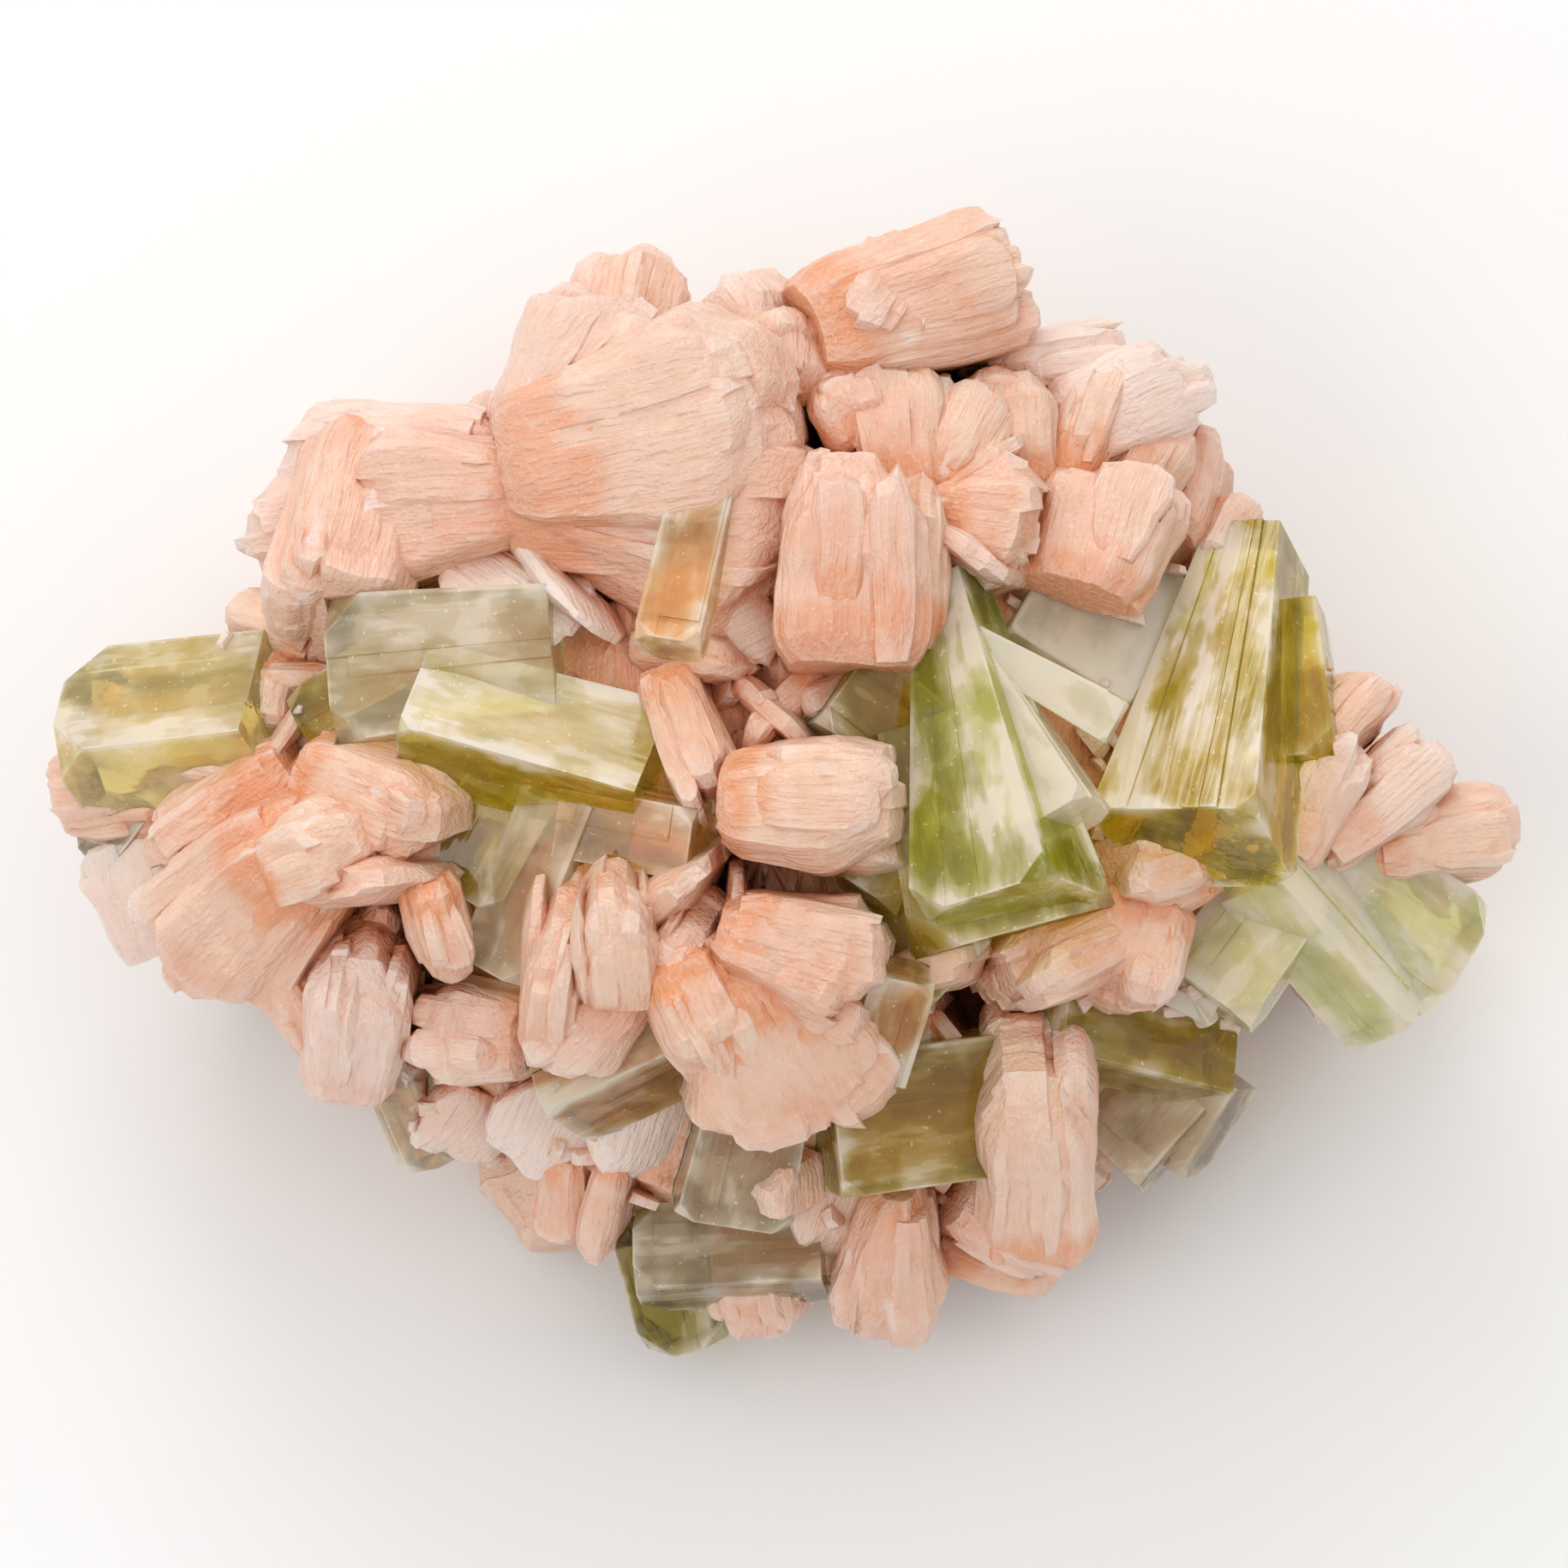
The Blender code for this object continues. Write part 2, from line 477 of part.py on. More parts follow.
def keep_largest_body(obj):
    """Applies the Booleans and drops the chips that a socket cut loose."""
    graph = bpy.context.evaluated_depsgraph_get()
    mesh = bpy.data.meshes.new_from_object(obj.evaluated_get(graph))
    obj.modifiers.clear()
    bm = bmesh.new()
    bm.from_mesh(mesh)
    bodies, waiting = [], set(bm.verts)
    while waiting:
        body, edge_of = set(), [waiting.pop()]
        while edge_of:
            vert = edge_of.pop()
            body.add(vert)
            for edge in vert.link_edges:
                other = edge.other_vert(vert)
                if other in waiting:
                    waiting.remove(other)
                    edge_of.append(other)
        bodies.append(body)
    bodies.sort(key=len)
    for body in bodies[:-1]:
        bmesh.ops.delete(bm, geom=list(body), context="VERTS")
    bm.to_mesh(mesh)
    bm.free()
    obj.data = mesh


def build_apophyllite(material):
    for node in PRISMS:
        fused(node, prism_shapes(node), material)


def build_stilbite(material):
    shapes = [(lump_mesh(), Matrix.Identity(4)), *stilbite_shapes()]
    stilbite = fused("stilbite", shapes, material)
    cuts = helper_collection("sockets and base")
    for node in PRISMS:
        for bm, place in prism_shapes(node, SOCKET_GAP / GRID):
            add_helper(bm, place, cuts, material)
    add_helper(floor_block(), face_matrix().inverted(), cuts, material)
    add_boolean(stilbite, "DIFFERENCE", cuts)
    keep_largest_body(stilbite)


def main():
    clear_scene()
    build_apophyllite(finish_material("apophyllite", APOPHYLLITE_FINISH))
    build_stilbite(finish_material("stilbite", STILBITE_FINISH))


main()
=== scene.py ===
"""Apophyllite on stilbite: clear yellow-green prisms on a dome of peach stilbite sheaves.

The file is laid out as a Blender add-on and is run as a script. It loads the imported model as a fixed
frame and grows a detailed crystal group in its place. Crystals are laid out on the specimen's face:
x to the right and y up across the face, in grid steps, and z out of it.
"""

import json
import math
import random

import bmesh
import bpy
from mathutils import Matrix, Vector, noise
from mathutils.bvhtree import BVHTree

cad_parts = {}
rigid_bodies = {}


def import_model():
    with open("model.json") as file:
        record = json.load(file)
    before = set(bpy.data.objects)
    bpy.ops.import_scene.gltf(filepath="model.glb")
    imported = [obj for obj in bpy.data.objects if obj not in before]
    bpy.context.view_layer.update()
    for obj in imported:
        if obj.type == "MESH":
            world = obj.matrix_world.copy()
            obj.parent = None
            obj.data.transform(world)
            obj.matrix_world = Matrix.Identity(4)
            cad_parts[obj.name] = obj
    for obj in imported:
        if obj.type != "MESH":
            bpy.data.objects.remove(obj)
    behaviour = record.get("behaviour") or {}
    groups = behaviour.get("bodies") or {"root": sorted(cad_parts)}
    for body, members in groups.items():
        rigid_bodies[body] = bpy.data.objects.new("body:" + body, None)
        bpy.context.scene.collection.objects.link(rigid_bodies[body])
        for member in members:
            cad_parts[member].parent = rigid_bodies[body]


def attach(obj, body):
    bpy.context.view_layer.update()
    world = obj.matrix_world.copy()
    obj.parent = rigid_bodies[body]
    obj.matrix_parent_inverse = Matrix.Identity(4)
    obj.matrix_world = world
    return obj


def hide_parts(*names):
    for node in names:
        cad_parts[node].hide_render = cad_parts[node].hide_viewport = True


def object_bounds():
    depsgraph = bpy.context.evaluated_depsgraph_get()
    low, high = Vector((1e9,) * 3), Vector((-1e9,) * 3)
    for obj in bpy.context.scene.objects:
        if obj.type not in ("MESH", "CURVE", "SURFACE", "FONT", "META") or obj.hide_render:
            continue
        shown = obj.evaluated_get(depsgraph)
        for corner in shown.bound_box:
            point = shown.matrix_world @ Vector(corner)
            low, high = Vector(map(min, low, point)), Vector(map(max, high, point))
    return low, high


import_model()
CAD_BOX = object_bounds()

bl_info = {
    "name": "Apophyllite on Stilbite",
    "version": (1, 0, 0),
    "blender": (4, 5, 0),
    "location": "3D View > Sidebar > Crystals",
    "description": "Grows a group of clear apophyllite prisms on stilbite sheaves around the packed model",
    "category": "Add Mesh",
}

# Driving dimensions, in metres
SPECIMEN_WIDTH = 0.139
FACE_LEAN = math.radians(15)
FACE_PLACE = (0.0, 0.0014, 0.025)

# Layout unit: the specimen is 173.6 grid steps wide
GRID = SPECIMEN_WIDTH / 173.6

# The stilbite dome that carries the crystals, in grid steps
DOME_HEIGHT = 27.0
DOME_REACH = (84.0, 64.0)
DOME_POWER = 1.5
LUMP_RISE = 2.5
LUMP_RINGS = (0.86, 0.66, 0.42, 0.16)
LUMP_SKIRT = ((0.98, -8.0), (0.88, -30.0), (0.80, -60.0))
LUMP_ROUGHNESS = 3.2
LUMP_CUTS = 5
LUMP_GRAIN = 1.3
LUMP_OUTLINE = (
    (-73, 4), (-62, 13), (-56, 30), (-40, 38), (-25, 46), (-8, 50), (12, 54), (28, 48),
    (42, 42), (50, 28), (58, 15), (68, 2), (77, -6), (70, -17), (55, -23), (46, -34),
    (35, -45), (22, -54), (4, -56), (-14, -57), (-27, -48), (-41, -40), (-54, -28), (-70, -15),
)

# How far the stilbite keeps off a prism's skin in its socket, and how deep the skin is squashed
# where it would reach past the solids' box, in grid steps and metres
SOCKET_GAP = 0.06
SQUASH_DEPTH = 0.007

# Hollow between the crystals, sunk into the lump and painted near-black as shade below its mouth: place on the
# face, radius and depth
CAVE = (24.0, -24.5)
CAVE_RADIUS = 7.0
CAVE_DEPTH = 9.0
CAVE_MOUTH = 2.0

# Form of a sheaf: how much its sides round off and bulge, and how high its end is
ROUNDING = 0.10
BULGE = 0.03
POINT = 0.34
FILLER_POINT = 0.4
ROOF_EAVES = 0.10
ROOT_ROUNDING = 0.22

# Relief of a sheaf in grid steps: size of its mesh across and along, steps between its layers at the
# end, tiers along its sides and how far layers shift them, steps on the sides, worn rim, fine roughness
# and slow sway
CELL = 0.95
LONG_CELL = 2.2
LAYER_SHARPNESS = 0.34
TERRACE = 0.9
TIERS = (2, 3, 4)
TIER_STEP = 0.45
TIER_SHIFT = 0.07
PLATE_STEP = 0.20
RIB_STEP = 0.18
RIM_WEAR = 0.6
ROUGHNESS = 0.24
SWAY = 0.6

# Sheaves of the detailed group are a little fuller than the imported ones, and the whole is drawn in to fit
# inside them
FULLNESS = 1.15
FIT = 0.985

# Plates that lie on each sheaf: how many, and how far they stand out of it in grid steps
PLATES_EACH = 6
PLATE_RISE = (0.2, 1.5)

# Thin blades of the star below the crest
STAR_RAYS = 9
STAR_CENTRE = (15.0, 32.0, 7.5)
STAR_TURN = (-35.0, 75.0)
STAR_REACH = 15.5

# Seeded sheaves, which cover the flanks, and blades, which crowd the gaps on the dome
SEED = 11
FLANK_SHEAVES = 27
FLANK_LEVELS = (-3, -19, -10, -27)
FLANK_ROOT = 0.84
FLANK_RISE = 9.0
DRUSE_BLADES = 560

# Sheaves and fingers of stilbite: name, root, tip, spread at root and tip, breadth, roll and, where the
# end is blunter or sharper than most, its height as a share of the breadth.
# Root and tip are (x, y, height above the dome). Blades stack across the spread; at roll 0 the
# spread lies in the face and at roll 90 the broad side of the blades faces out.
SHEAVES = (
    ("king fan crown top", (-30, 37, 9), (-16, 54.5, 12), (13, 22), 22, 0, 0.2),
    ("king fan crown", (-31, 38, 9), (0, 45, 14), (14, 24), 24, 0, 0.2),
    ("king fan", (-31, 35, 6), (3, 35, 8), (12, 38), 20, 0, 0.2),
    ("king fan left wing", (-28, 34, 7), (-50, 32.5, 8), (10, 17), 16, 0),
    ("king fan back lobe", (-32, 39, 4), (-58, 36, 4), (9, 16), 14, 0),
    ("left shoulder", (-49, 39, 5), (-53.5, 17, 9), (14, 15), 18, 0, 0.16),
    ("left shoulder corner", (-46, 33, 2), (-63.5, 30, 3), (16, 10), 14, 0),
    ("north peak", (-21, 45, 7), (-17.8, 61.5, 6), (12, 12), 12, 20),
    ("north boat", (1, 49, 6), (-6, 57.5, 7), (12, 13), 8, 60),
    ("north boat keel", (-2, 43, 7), (-1, 54, 9), (10, 11), 12, 30),
    ("crest sheaf", (2, 53, 11), (26.5, 60.5, 13), (13, 15.5), 20, 0, 0.12),
    ("crest sheaf lower lip", (8, 52, 11), (27, 56.5, 11), (9, 6), 16, 0),
    ("crest sheaf heel", (15, 59, 11), (8.5, 48, 12), (13, 13), 18, 0),
    ("crest wedge", (24, 57, 7), (20, 48.5, 7), (6, 8), 12, 0),
    ("north east ledge", (22, 49, 6), (38.3, 51.5, 6), (6, 6), 14, 0),
    ("north east block", (31, 41, 5), (47.5, 48, 7), (11, 11), 15, 0),
    ("east finger one", (28, 33, 3), (26.5, 48.5, 9), (8, 10), 14, 0),
    ("east finger two", (32, 32, 2), (37.5, 47.5, 8), (7, 8), 14, 0),
    ("east finger three", (38, 28, 2), (45.5, 42, 5), (8, 9), 14, 0),
    ("east rim arc", (46, 27, 1), (50, 40.5, 1), (6, 5), 12, 0),
    ("east rim finger", (50, 24, 1), (54.8, 33, 2), (6, 6), 10, 0),
    ("east table", (34, 22.5, 9), (39, 37, 11), (9, 9), 14.5, 78, 0.2),
    ("star ray south east", (16, 32, 8), (30.5, 30, 10), (5, 15), 12, 0),
    ("star ray north east", (17, 32, 7), (23.5, 46, 8), (6, 9), 12, 0),
    ("star ray north", (15, 32, 7), (12.5, 48.5, 9), (7, 11), 12, 0),
    ("star ray north west", (10, 38, 6), (6.5, 48, 8), (7, 9), 12, 0),
    ("tall block", (7.8, 13.3, 8), (8.6, 38.8, 14), (16.5, 14), 20, 0),
    ("tall block step", (15, 15.5, 5), (16, 36.5, 11), (7, 6), 16, 0),
    ("hexagon plate", (-38, 27, 8), (-24, 18, 9), (3, 3), 11, 66),
    ("leaning plate", (-31, 30, 5), (-21, 17.3, 9), (3, 3), 9, 14),
    ("under blade west", (-17, 16, 2), (-3, 14, 4), (5, 5), 8, 0),
    ("pale chip", (-1, 20, 5), (-7.5, 16, 6), (2, 2), 6, 70),
    ("hanging finger", (-14, 12.5, 2), (-7.5, -4.5, 6), (7, 7.5), 12, 0),
    ("crossed blade one", (-5, 12, 2), (3.5, 4, 3), (3, 3.5), 7, 0),
    ("crossed blade two", (4, 13, 2), (-3, 3, 2), (4, 4), 6, 30),
    ("crossed blade three", (8, 12, 1), (1, 9, 3), (4, 4), 6, 0),
    ("barrel", (-6, -2, 8), (14.6, -2.6, 13), (11, 14), 20, 0),
    ("west plate", (-55, 1.5, 6), (-38.5, -5, 10), (11, 12), 12, 24),
    ("west fan", (-52, -4, 9), (-68, -20.5, 7), (12, 20), 18, 0),
    ("west fan brow", (-60, -10, 10), (-47.5, -5, 12), (9, 10), 14, 0),
    ("west fan back plate", (-57, 3, 3), (-73.5, -9, 3), (8, 9), 12, 0),
    ("west hook", (-55, -12, 11), (-40.5, -10.5, 14), (5.5, 5), 12, 0),
    ("west hook tip", (-42, -10, 11), (-39, -21.5, 10), (6, 6), 12, 0),
    ("west finger", (-62, -17, 9), (-54.5, -31, 9), (5.5, 6), 12, 0),
    ("west block", (-51.5, -33, 5), (-48.5, -16.5, 12), (10, 11), 16, 0),
    ("west rim plate", (-75, -20.5, 2), (-80, -6, 3), (3, 3), 8.5, 66),
    ("west rim wedge", (-70, -13, 3), (-77.5, -15.5, 5), (5, 5), 9, 0),
    ("rim knob", (-72, 0, -2), (-86.4, -1, -3), (11, 11), 10, 0),
    ("small finger one", (-53, 12.5, 2), (-67, 12.5, 3), (3.5, 3.5), 7, 0),
    ("small finger two", (-59.5, 14, 1), (-61, 5.5, 4), (4, 4.5), 7, 0),
    ("small block", (-60, 2, 1), (-71.5, 3.5, 3), (6, 6), 9, 0),
    ("slant blade one", (-63, 0, 2), (-54, 13, 4), (2.2, 2.2), 9, 0),
    ("slant blade two", (-58, 0, 2), (-50.5, 9, 3), (3, 3), 8, 0),
    ("north west crust", (-55, 15, 0), (-66.5, 20, 0), (6, 6), 8, 30),
    ("south fan streak blade", (-27.5, -29, 8), (-25.5, -12, 12), (6.5, 6.5), 18, 0),
    ("south upright", (-19, -23, 10), (-20.2, -9.5, 14), (9, 8.5), 18, 0),
    ("south slant finger", (-15.5, -15, 8), (-7, -7.5, 11), (5, 4.5), 12, 0),
    ("south small block", (-13.5, -21, 9), (-9, -14, 13), (6, 6), 12, 0),
    ("south small finger", (-5.5, -19, 8), (-5.5, -10, 9), (3, 3), 9, 0),
    ("south prism", (-13.5, -19.5, 10), (-6, -34, 13), (9, 9.5), 18, 0),
    ("south west fan", (-15, -20, 9), (-27.5, -31, 8), (7, 13), 16, 0),
    ("south fan brow", (-8, -17, 9), (11.5, -23.5, 11), (9, 16), 20, 0, 0.2),
    ("south fan", (-7, -18, 9), (4.5, -40, 8.5), (9, 24), 20, 0),
    ("fluted fan", (-29, -30, 4), (-44.2, -29, 6), (9, 11), 14, 0),
    ("low table one", (-24, -36, 2), (-29.5, -46.5, 3), (4, 4), 12, 70),
    ("low table two", (-35, -36, 0), (-41, -44.5, 1), (4, 4), 8, 60),
    ("low table three", (-15, -35, 2), (-19, -46, 3), (5, 5), 11, 55),
    ("low blade one", (-19, -43, 1), (-22, -55.5, 1), (4, 4.5), 9, 10),
    ("low blade two", (-25, -43, 0), (-25.3, -53, -1), (5, 6), 8, 30),
    ("south lobe", (-4, -54, -2), (-2.5, -64.3, -4), (11, 11), 9, 0),
    ("south chip", (1, -44, 5), (1.2, -51, 6), (5, 5), 7, 45),
    ("south table", (9, -45, 1), (5, -55.5, 2), (4, 4), 8.5, 62),
    ("keel blade", (13.5, -46, 4), (11.8, -65.6, 1), (6, 12.5), 13, 0, 0.7),
    ("south east block", (30, -53, 2), (29, -31, 11), (12.5, 12), 16, 0),
    ("south east corner", (28, -47, 3), (36.5, -40.5, 4), (10, 6), 14, 0),
    ("flank fan one", (19, -49, 2), (32, -55.5, 1), (7, 8), 12, 0),
    ("flank fan two", (17, -54, -1), (31.5, -59.5, -3), (6, 6), 9, 0),
    ("cave block west", (40, -17, 3), (25.5, -23.5, 8), (9, 9), 14, 0),
    ("cave block south", (43, -13, 3), (38.5, -27, 8), (11, 12), 14, 0),
    ("cave lintel", (50, -7, 2), (36.5, -11.5, 5), (10, 11), 12, 0),
    ("cave tooth", (13, -22.5, 3), (24.5, -20, 6), (5, 5), 10, 0),
    ("east bud", (68, -8, 1), (86.6, -4.6, 2), (9, 10.5), 11, 0),
    ("east plate one", (62, -9, 2), (77.5, 3.5, 3), (7, 9), 12, 0),
    ("east plate two", (60, -10, 3), (67, 6, 5), (6, 8), 12, 0),
    ("east plate three", (58, 0, 0), (70, 11, 0), (8, 8), 10, 0),
    ("east heel", (74, -8, 0), (78.5, -14.5, -1), (5, 5), 8, 0),
)

# Sheaves and plates whose pearly sheen is painted into their colour as a whiter skin, and how strong it is, from 0
# to 1
PEARLY_SHEEN = {
    "west rim plate": 1.0, "hexagon plate": 1.0, "leaning plate": 1.0, "pale chip": 1.0,
    "low table one": 1.0, "low table three": 1.0, "low table two": 0.6, "south table": 0.5,
    "north east ledge": 0.8, "north east block": 0.9, "king fan back lobe": 0.7, "left shoulder corner": 0.5,
    "king fan crown top": 0.4, "king fan crown": 0.2, "north boat": 0.5, "west block": 0.7,
    "west rim wedge": 0.8, "south west fan": 0.3, "east plate one": 0.5, "east plate two": 0.4,
    "flank fan one": 0.4, "fluted fan": 0.3, "south east block": 0.2,
}

# Apophyllite prisms by node: root, tip, (width, depth) at the root and at the tip, roll and the share of
# the width that the corner faces cut off. Roll 45 turns a prism edge to the front.
PRISMS = {
    "apophyllite_left_prism": (
        ((-60, 7.5, 2), (-83.3, 4.8, 4), (15.5, 15.5), (16, 16), 40, 0.30),
        ((-76, -1, 0), (-81.5, -8, -1), (7, 7), (7, 7), 20, 0.30),
    ),
    "apophyllite_left_cluster": (
        ((-26, 15, 4), (-52.5, 12.5, 8), (15, 15), (17.5, 15), 8, 0.30),
        ((-15.5, 0.5, 6), (-43.5, 8, 9), (14, 13), (13, 13), 35, 0.12),
        ((-45, 13, 2), (-57, 6.5, 5), (8, 9), (7, 8), 20, 0.35),
        ((-30, 0, 1), (-37.5, -12.5, 3), (12, 12), (12, 12), 12, 0.20),
        ((-24, -0.5, 6), (-32.5, -22, 7), (9, 9), (8.5, 9), 28, 0.25),
        ((-25, -3.5, 5), (-9.3, -6.5, 8), (9, 11), (8.5, 11), 10, 0.20),
    ),
    "apophyllite_fan_prism": (
        ((-8.2, 38, 15), (-13.5, 15.6, 17), (6.8, 6.5), (7.2, 6.5), 12, 0.22),
    ),
    "apophyllite_green_cluster": (
        ((19.5, 24, 8), (26.8, -14.5, 18), (6, 8), (18, 18), 24, 0.22),
        ((20, 8, 4), (27, -17.5, 9), (18, 14), (24, 16), 0, 0.35),
        ((21.5, 16, 8), (32.2, -5, 16.5), (5, 8), (10.5, 12), 10, 0.16),
        ((22, 16.5, 9), (39, 7, 12.5), (4, 8), (5.5, 8), 0, 0.12),
        ((17, 3, 2), (6, 11.5, 4), (11, 10), (11, 10), 10, 0.20),
        ((17, -3, 4), (9.5, -13.5, 7), (9, 9), (8.5, 9), 15, 0.25),
        ((10, -12, 1), (21, -22, 5), (10, 9), (11, 9), 12, 0.20),
    ),
    "apophyllite_back_block": (
        ((39.8, 26, -3), (31.8, 11.5, 1.5), (16.5, 10), (17, 10), -6, 0.10),
    ),
    "apophyllite_great_prism": (
        ((56.5, 28, 4), (48, -7.5, 14), (9, 12), (20.5, 17), 26, 0.15),
        ((60, 20, 1), (60.5, 1, 4), (8, 10), (11, 12), 12, 0.30),
    ),
    "apophyllite_crossed_prisms": (
        ((58.5, -7, -0.5), (79.3, -21, 4), (14, 10), (15.5, 11), -10, 0.32),
        ((56.5, -9, 5), (72.5, -27, 8), (9, 11), (9.5, 11), 40, 0.14),
        ((60, -12, 3), (50, -25.5, 6), (12, 9), (13, 10), 10, 0.32),
    ),
    "apophyllite_low_right_prism": (
        ((50.2, -32.8, -1.0), (29.6, -27.6, 3.5), (9.5, 11), (9.5, 11), 16, 0.20),
    ),
    "apophyllite_yellow_block": (
        ((26.5, -37.2, 3), (4.6, -40.2, 5), (16.5, 13), (16.5, 13), -6, 0.15),
    ),
    "apophyllite_small_box": (
        ((10.2, -33.5, 13), (13.6, -21.6, 14), (7, 7), (7.4, 7), 10, 0.20),
    ),
    "apophyllite_amber_block": (
        ((-12, -29, 6.5), (-27, -36.2, 8), (10.5, 12), (10.5, 12), 30, 0.18),
    ),
    "apophyllite_white_block": (
        ((-3.2, -35.5, 2), (-6.4, -50.5, 4.5), (12, 10), (13.8, 10), -8, 0.22),
    ),
    "apophyllite_foot_pair": (
        ((5, -55.5, 0), (-17.4, -56.6, 1), (10, 10.5), (10.5, 10.5), 18, 0.30),
        ((-14.5, -53, -7), (-11.5, -66.8, -6.5), (11, 9), (10, 9), 10, 0.42),
    ),
    "apophyllite_rim_pair": (
        ((47, -35.8, -9.3), (38.5, -44.6, -7.2), (11, 9), (12, 9), 12, 0.22),
        ((52, -34, -9), (45, -44.5, -8), (9, 8), (10, 8), 20, 0.30),
    ),
    "apophyllite_lower_left": (
        ((-47.5, -30, -1), (-41.5, -44.5, -1), (6, 7), (6, 7), 30, 0.22),
    ),
}

# What each prism is made of, in the order of its node's rows
CRYSTAL_FINISHES = {
    "apophyllite_left_prism": ("straw", "grey"),
    "apophyllite_left_cluster": ("cloudy", "yellow", "olive", "olive", "clear", "amber"),
    "apophyllite_fan_prism": ("amber",),
    "apophyllite_green_cluster": ("green", "olive", "pale", "pale", "olive", "olive", "olive"),
    "apophyllite_back_block": ("pale",),
    "apophyllite_great_prism": ("yellow", "yellow"),
    "apophyllite_crossed_prisms": ("fresh", "fresh", "fresh"),
    "apophyllite_low_right_prism": ("olive",),
    "apophyllite_yellow_block": ("olive",),
    "apophyllite_small_box": ("amber",),
    "apophyllite_amber_block": ("amber",),
    "apophyllite_white_block": ("grey",),
    "apophyllite_foot_pair": ("grey", "deep"),
    "apophyllite_rim_pair": ("clear", "clear"),
    "apophyllite_lower_left": ("clear",),
}

# Small broken pieces of clear crystal, by the node that they sit on, as in the table of prisms
CHIPS = {
    "apophyllite_crossed_prisms": (
        ((44.5, -24.2, 4.0), (51.0, -26.6, 6.6), (1.8, 2.6), (3.0, 2.6), 20, 0.20),
        ((47.0, -22.8, 4.5), (50.4, -28.4, 7.0), (1.6, 2.0), (2.4, 2.2), 50, 0.25),
        ((49.5, -23.5, 4.0), (53.2, -26.0, 7.4), (1.6, 2.0), (2.2, 2.2), 15, 0.30),
    ),
}
CHIP_FINISH = "pale"

# Whiter faces of a prism, partly milky frosting and partly a painted reflection of the soft light: the direction
# that they look in, on the specimen's face, and the places across the prism, from -1 to 1, where the whiteness
# starts and is full
VEILS_AND_SHEEN = {
    ("apophyllite_left_prism", 0): ((0.0, 0.6, 0.8), (-1.6, 1.2)),
    ("apophyllite_great_prism", 0): ((-0.4, 0.0, 0.9), (0.35, -0.05)),
    ("apophyllite_green_cluster", 0): ((-0.3, 0.0, 0.95), (-0.55, -0.25)),
    ("apophyllite_left_cluster", 1): ((0.0, 0.8, 0.6), (0.8, -0.2)),
    ("apophyllite_crossed_prisms", 1): ((0.6, 0.5, 0.6), (-1.0, -0.6)),
    ("apophyllite_back_block", 0): ((0.0, 0.0, 1.0), (-0.8, 0.2)),
    ("apophyllite_amber_block", 0): ((0.0, 0.5, 0.9), (0.4, -0.6)),
}
VEIL_AND_SHEEN_REACH = 0.75

# Crystal finishes: colour of the cloudy share, colour and density (per metre) of the absorption, milkiness
FINISHES = {
    "straw": ((0.84, 0.72, 0.32), (0.95, 0.88, 0.36), 46.0, 0.24),
    "yellow": ((0.76, 0.62, 0.06), (0.95, 0.90, 0.02), 80.0, 0.10),
    "olive": ((0.74, 0.57, 0.09), (0.94, 0.86, 0.03), 85.0, 0.13),
    "green": ((0.58, 0.62, 0.10), (0.90, 0.95, 0.08), 75.0, 0.16),
    "fresh": ((0.90, 0.90, 0.44), (0.96, 0.97, 0.36), 34.0, 0.42),
    "pale": ((0.98, 0.94, 0.70), (0.98, 0.97, 0.66), 22.0, 0.60),
    "cloudy": ((0.86, 0.74, 0.48), (0.96, 0.90, 0.56), 32.0, 0.32),
    "amber": ((0.95, 0.60, 0.26), (0.98, 0.72, 0.22), 44.0, 0.16),
    "clear": ((0.88, 0.72, 0.52), (0.97, 0.92, 0.74), 24.0, 0.20),
    "grey": ((0.72, 0.60, 0.42), (0.94, 0.88, 0.64), 38.0, 0.18),
    "deep": ((0.44, 0.37, 0.08), (0.82, 0.78, 0.12), 90.0, 0.12),
}
CRYSTAL_IOR = 1.535

# Share of a lamp's light that each face of a clear crystal lets through
LAMP_SHARE = (0.92, 0.87, 0.74)

# How a prism's faces are lined and stepped, in grid steps
PRISM_STRIP = 2.4
PRISM_RIM = 2.6
PRISM_STEP = (0.10, 0.50)
EDGE_WEAR = 0.24

# How far light is followed: in all, off matt faces, off glossy faces and through clear crystals, with no
# bright spots that glossy faces throw
LIGHT_PATHS = {
    "max_bounces": 6, "diffuse_bounces": 2, "glossy_bounces": 1, "transmission_bounces": 5,
    "caustics_reflective": False,
}

CAMERA_DISTANCE = 1.2
FACE_RISE = 0.012
VIEW_WIDTH = 183 * GRID
SENSOR_WIDTH = 36.0


def dome_height(x, y):
    """Height of the stilbite dome above the face's rim plane, in grid steps."""
    reach = (abs(x) / DOME_REACH[0]) ** DOME_POWER + (abs(y) / DOME_REACH[1]) ** DOME_POWER
    return DOME_HEIGHT * max(0.0, 1.0 - reach ** (2.0 / DOME_POWER))


def on_dome(place):
    x, y, lift = place
    return Vector((x, y, dome_height(x, y) + lift))


def face_matrix():
    """From grid steps on the leaning face to metres in the object's frame."""
    lean = Matrix.Rotation(FACE_LEAN, 4, "X")
    return Matrix.Translation(FACE_PLACE) @ lean @ Matrix.Scale(GRID * FIT, 4)


def stand_along(root, tip, roll):
    """Matrix that stands a crystal, built along +Z with its spread along X, from root towards tip."""
    axis = (tip - root).normalized()
    outward = Vector((0, 0, 1))
    side = axis.cross(outward).normalized()
    front = side.cross(axis).normalized() * -1
    turned = Matrix((side, front, axis)).transposed()
    if turned.determinant() < 0:
        turned = Matrix((-side, front, axis)).transposed()
    return Matrix.Translation(root) @ turned.to_4x4() @ Matrix.Rotation(math.radians(roll), 4, "Z")


def edges_along(bm, axis):
    """Edges that run along one axis of a box-like mesh."""
    return [e for e in bm.edges if abs((e.verts[0].co - e.verts[1].co).normalized()[axis]) > 0.99]


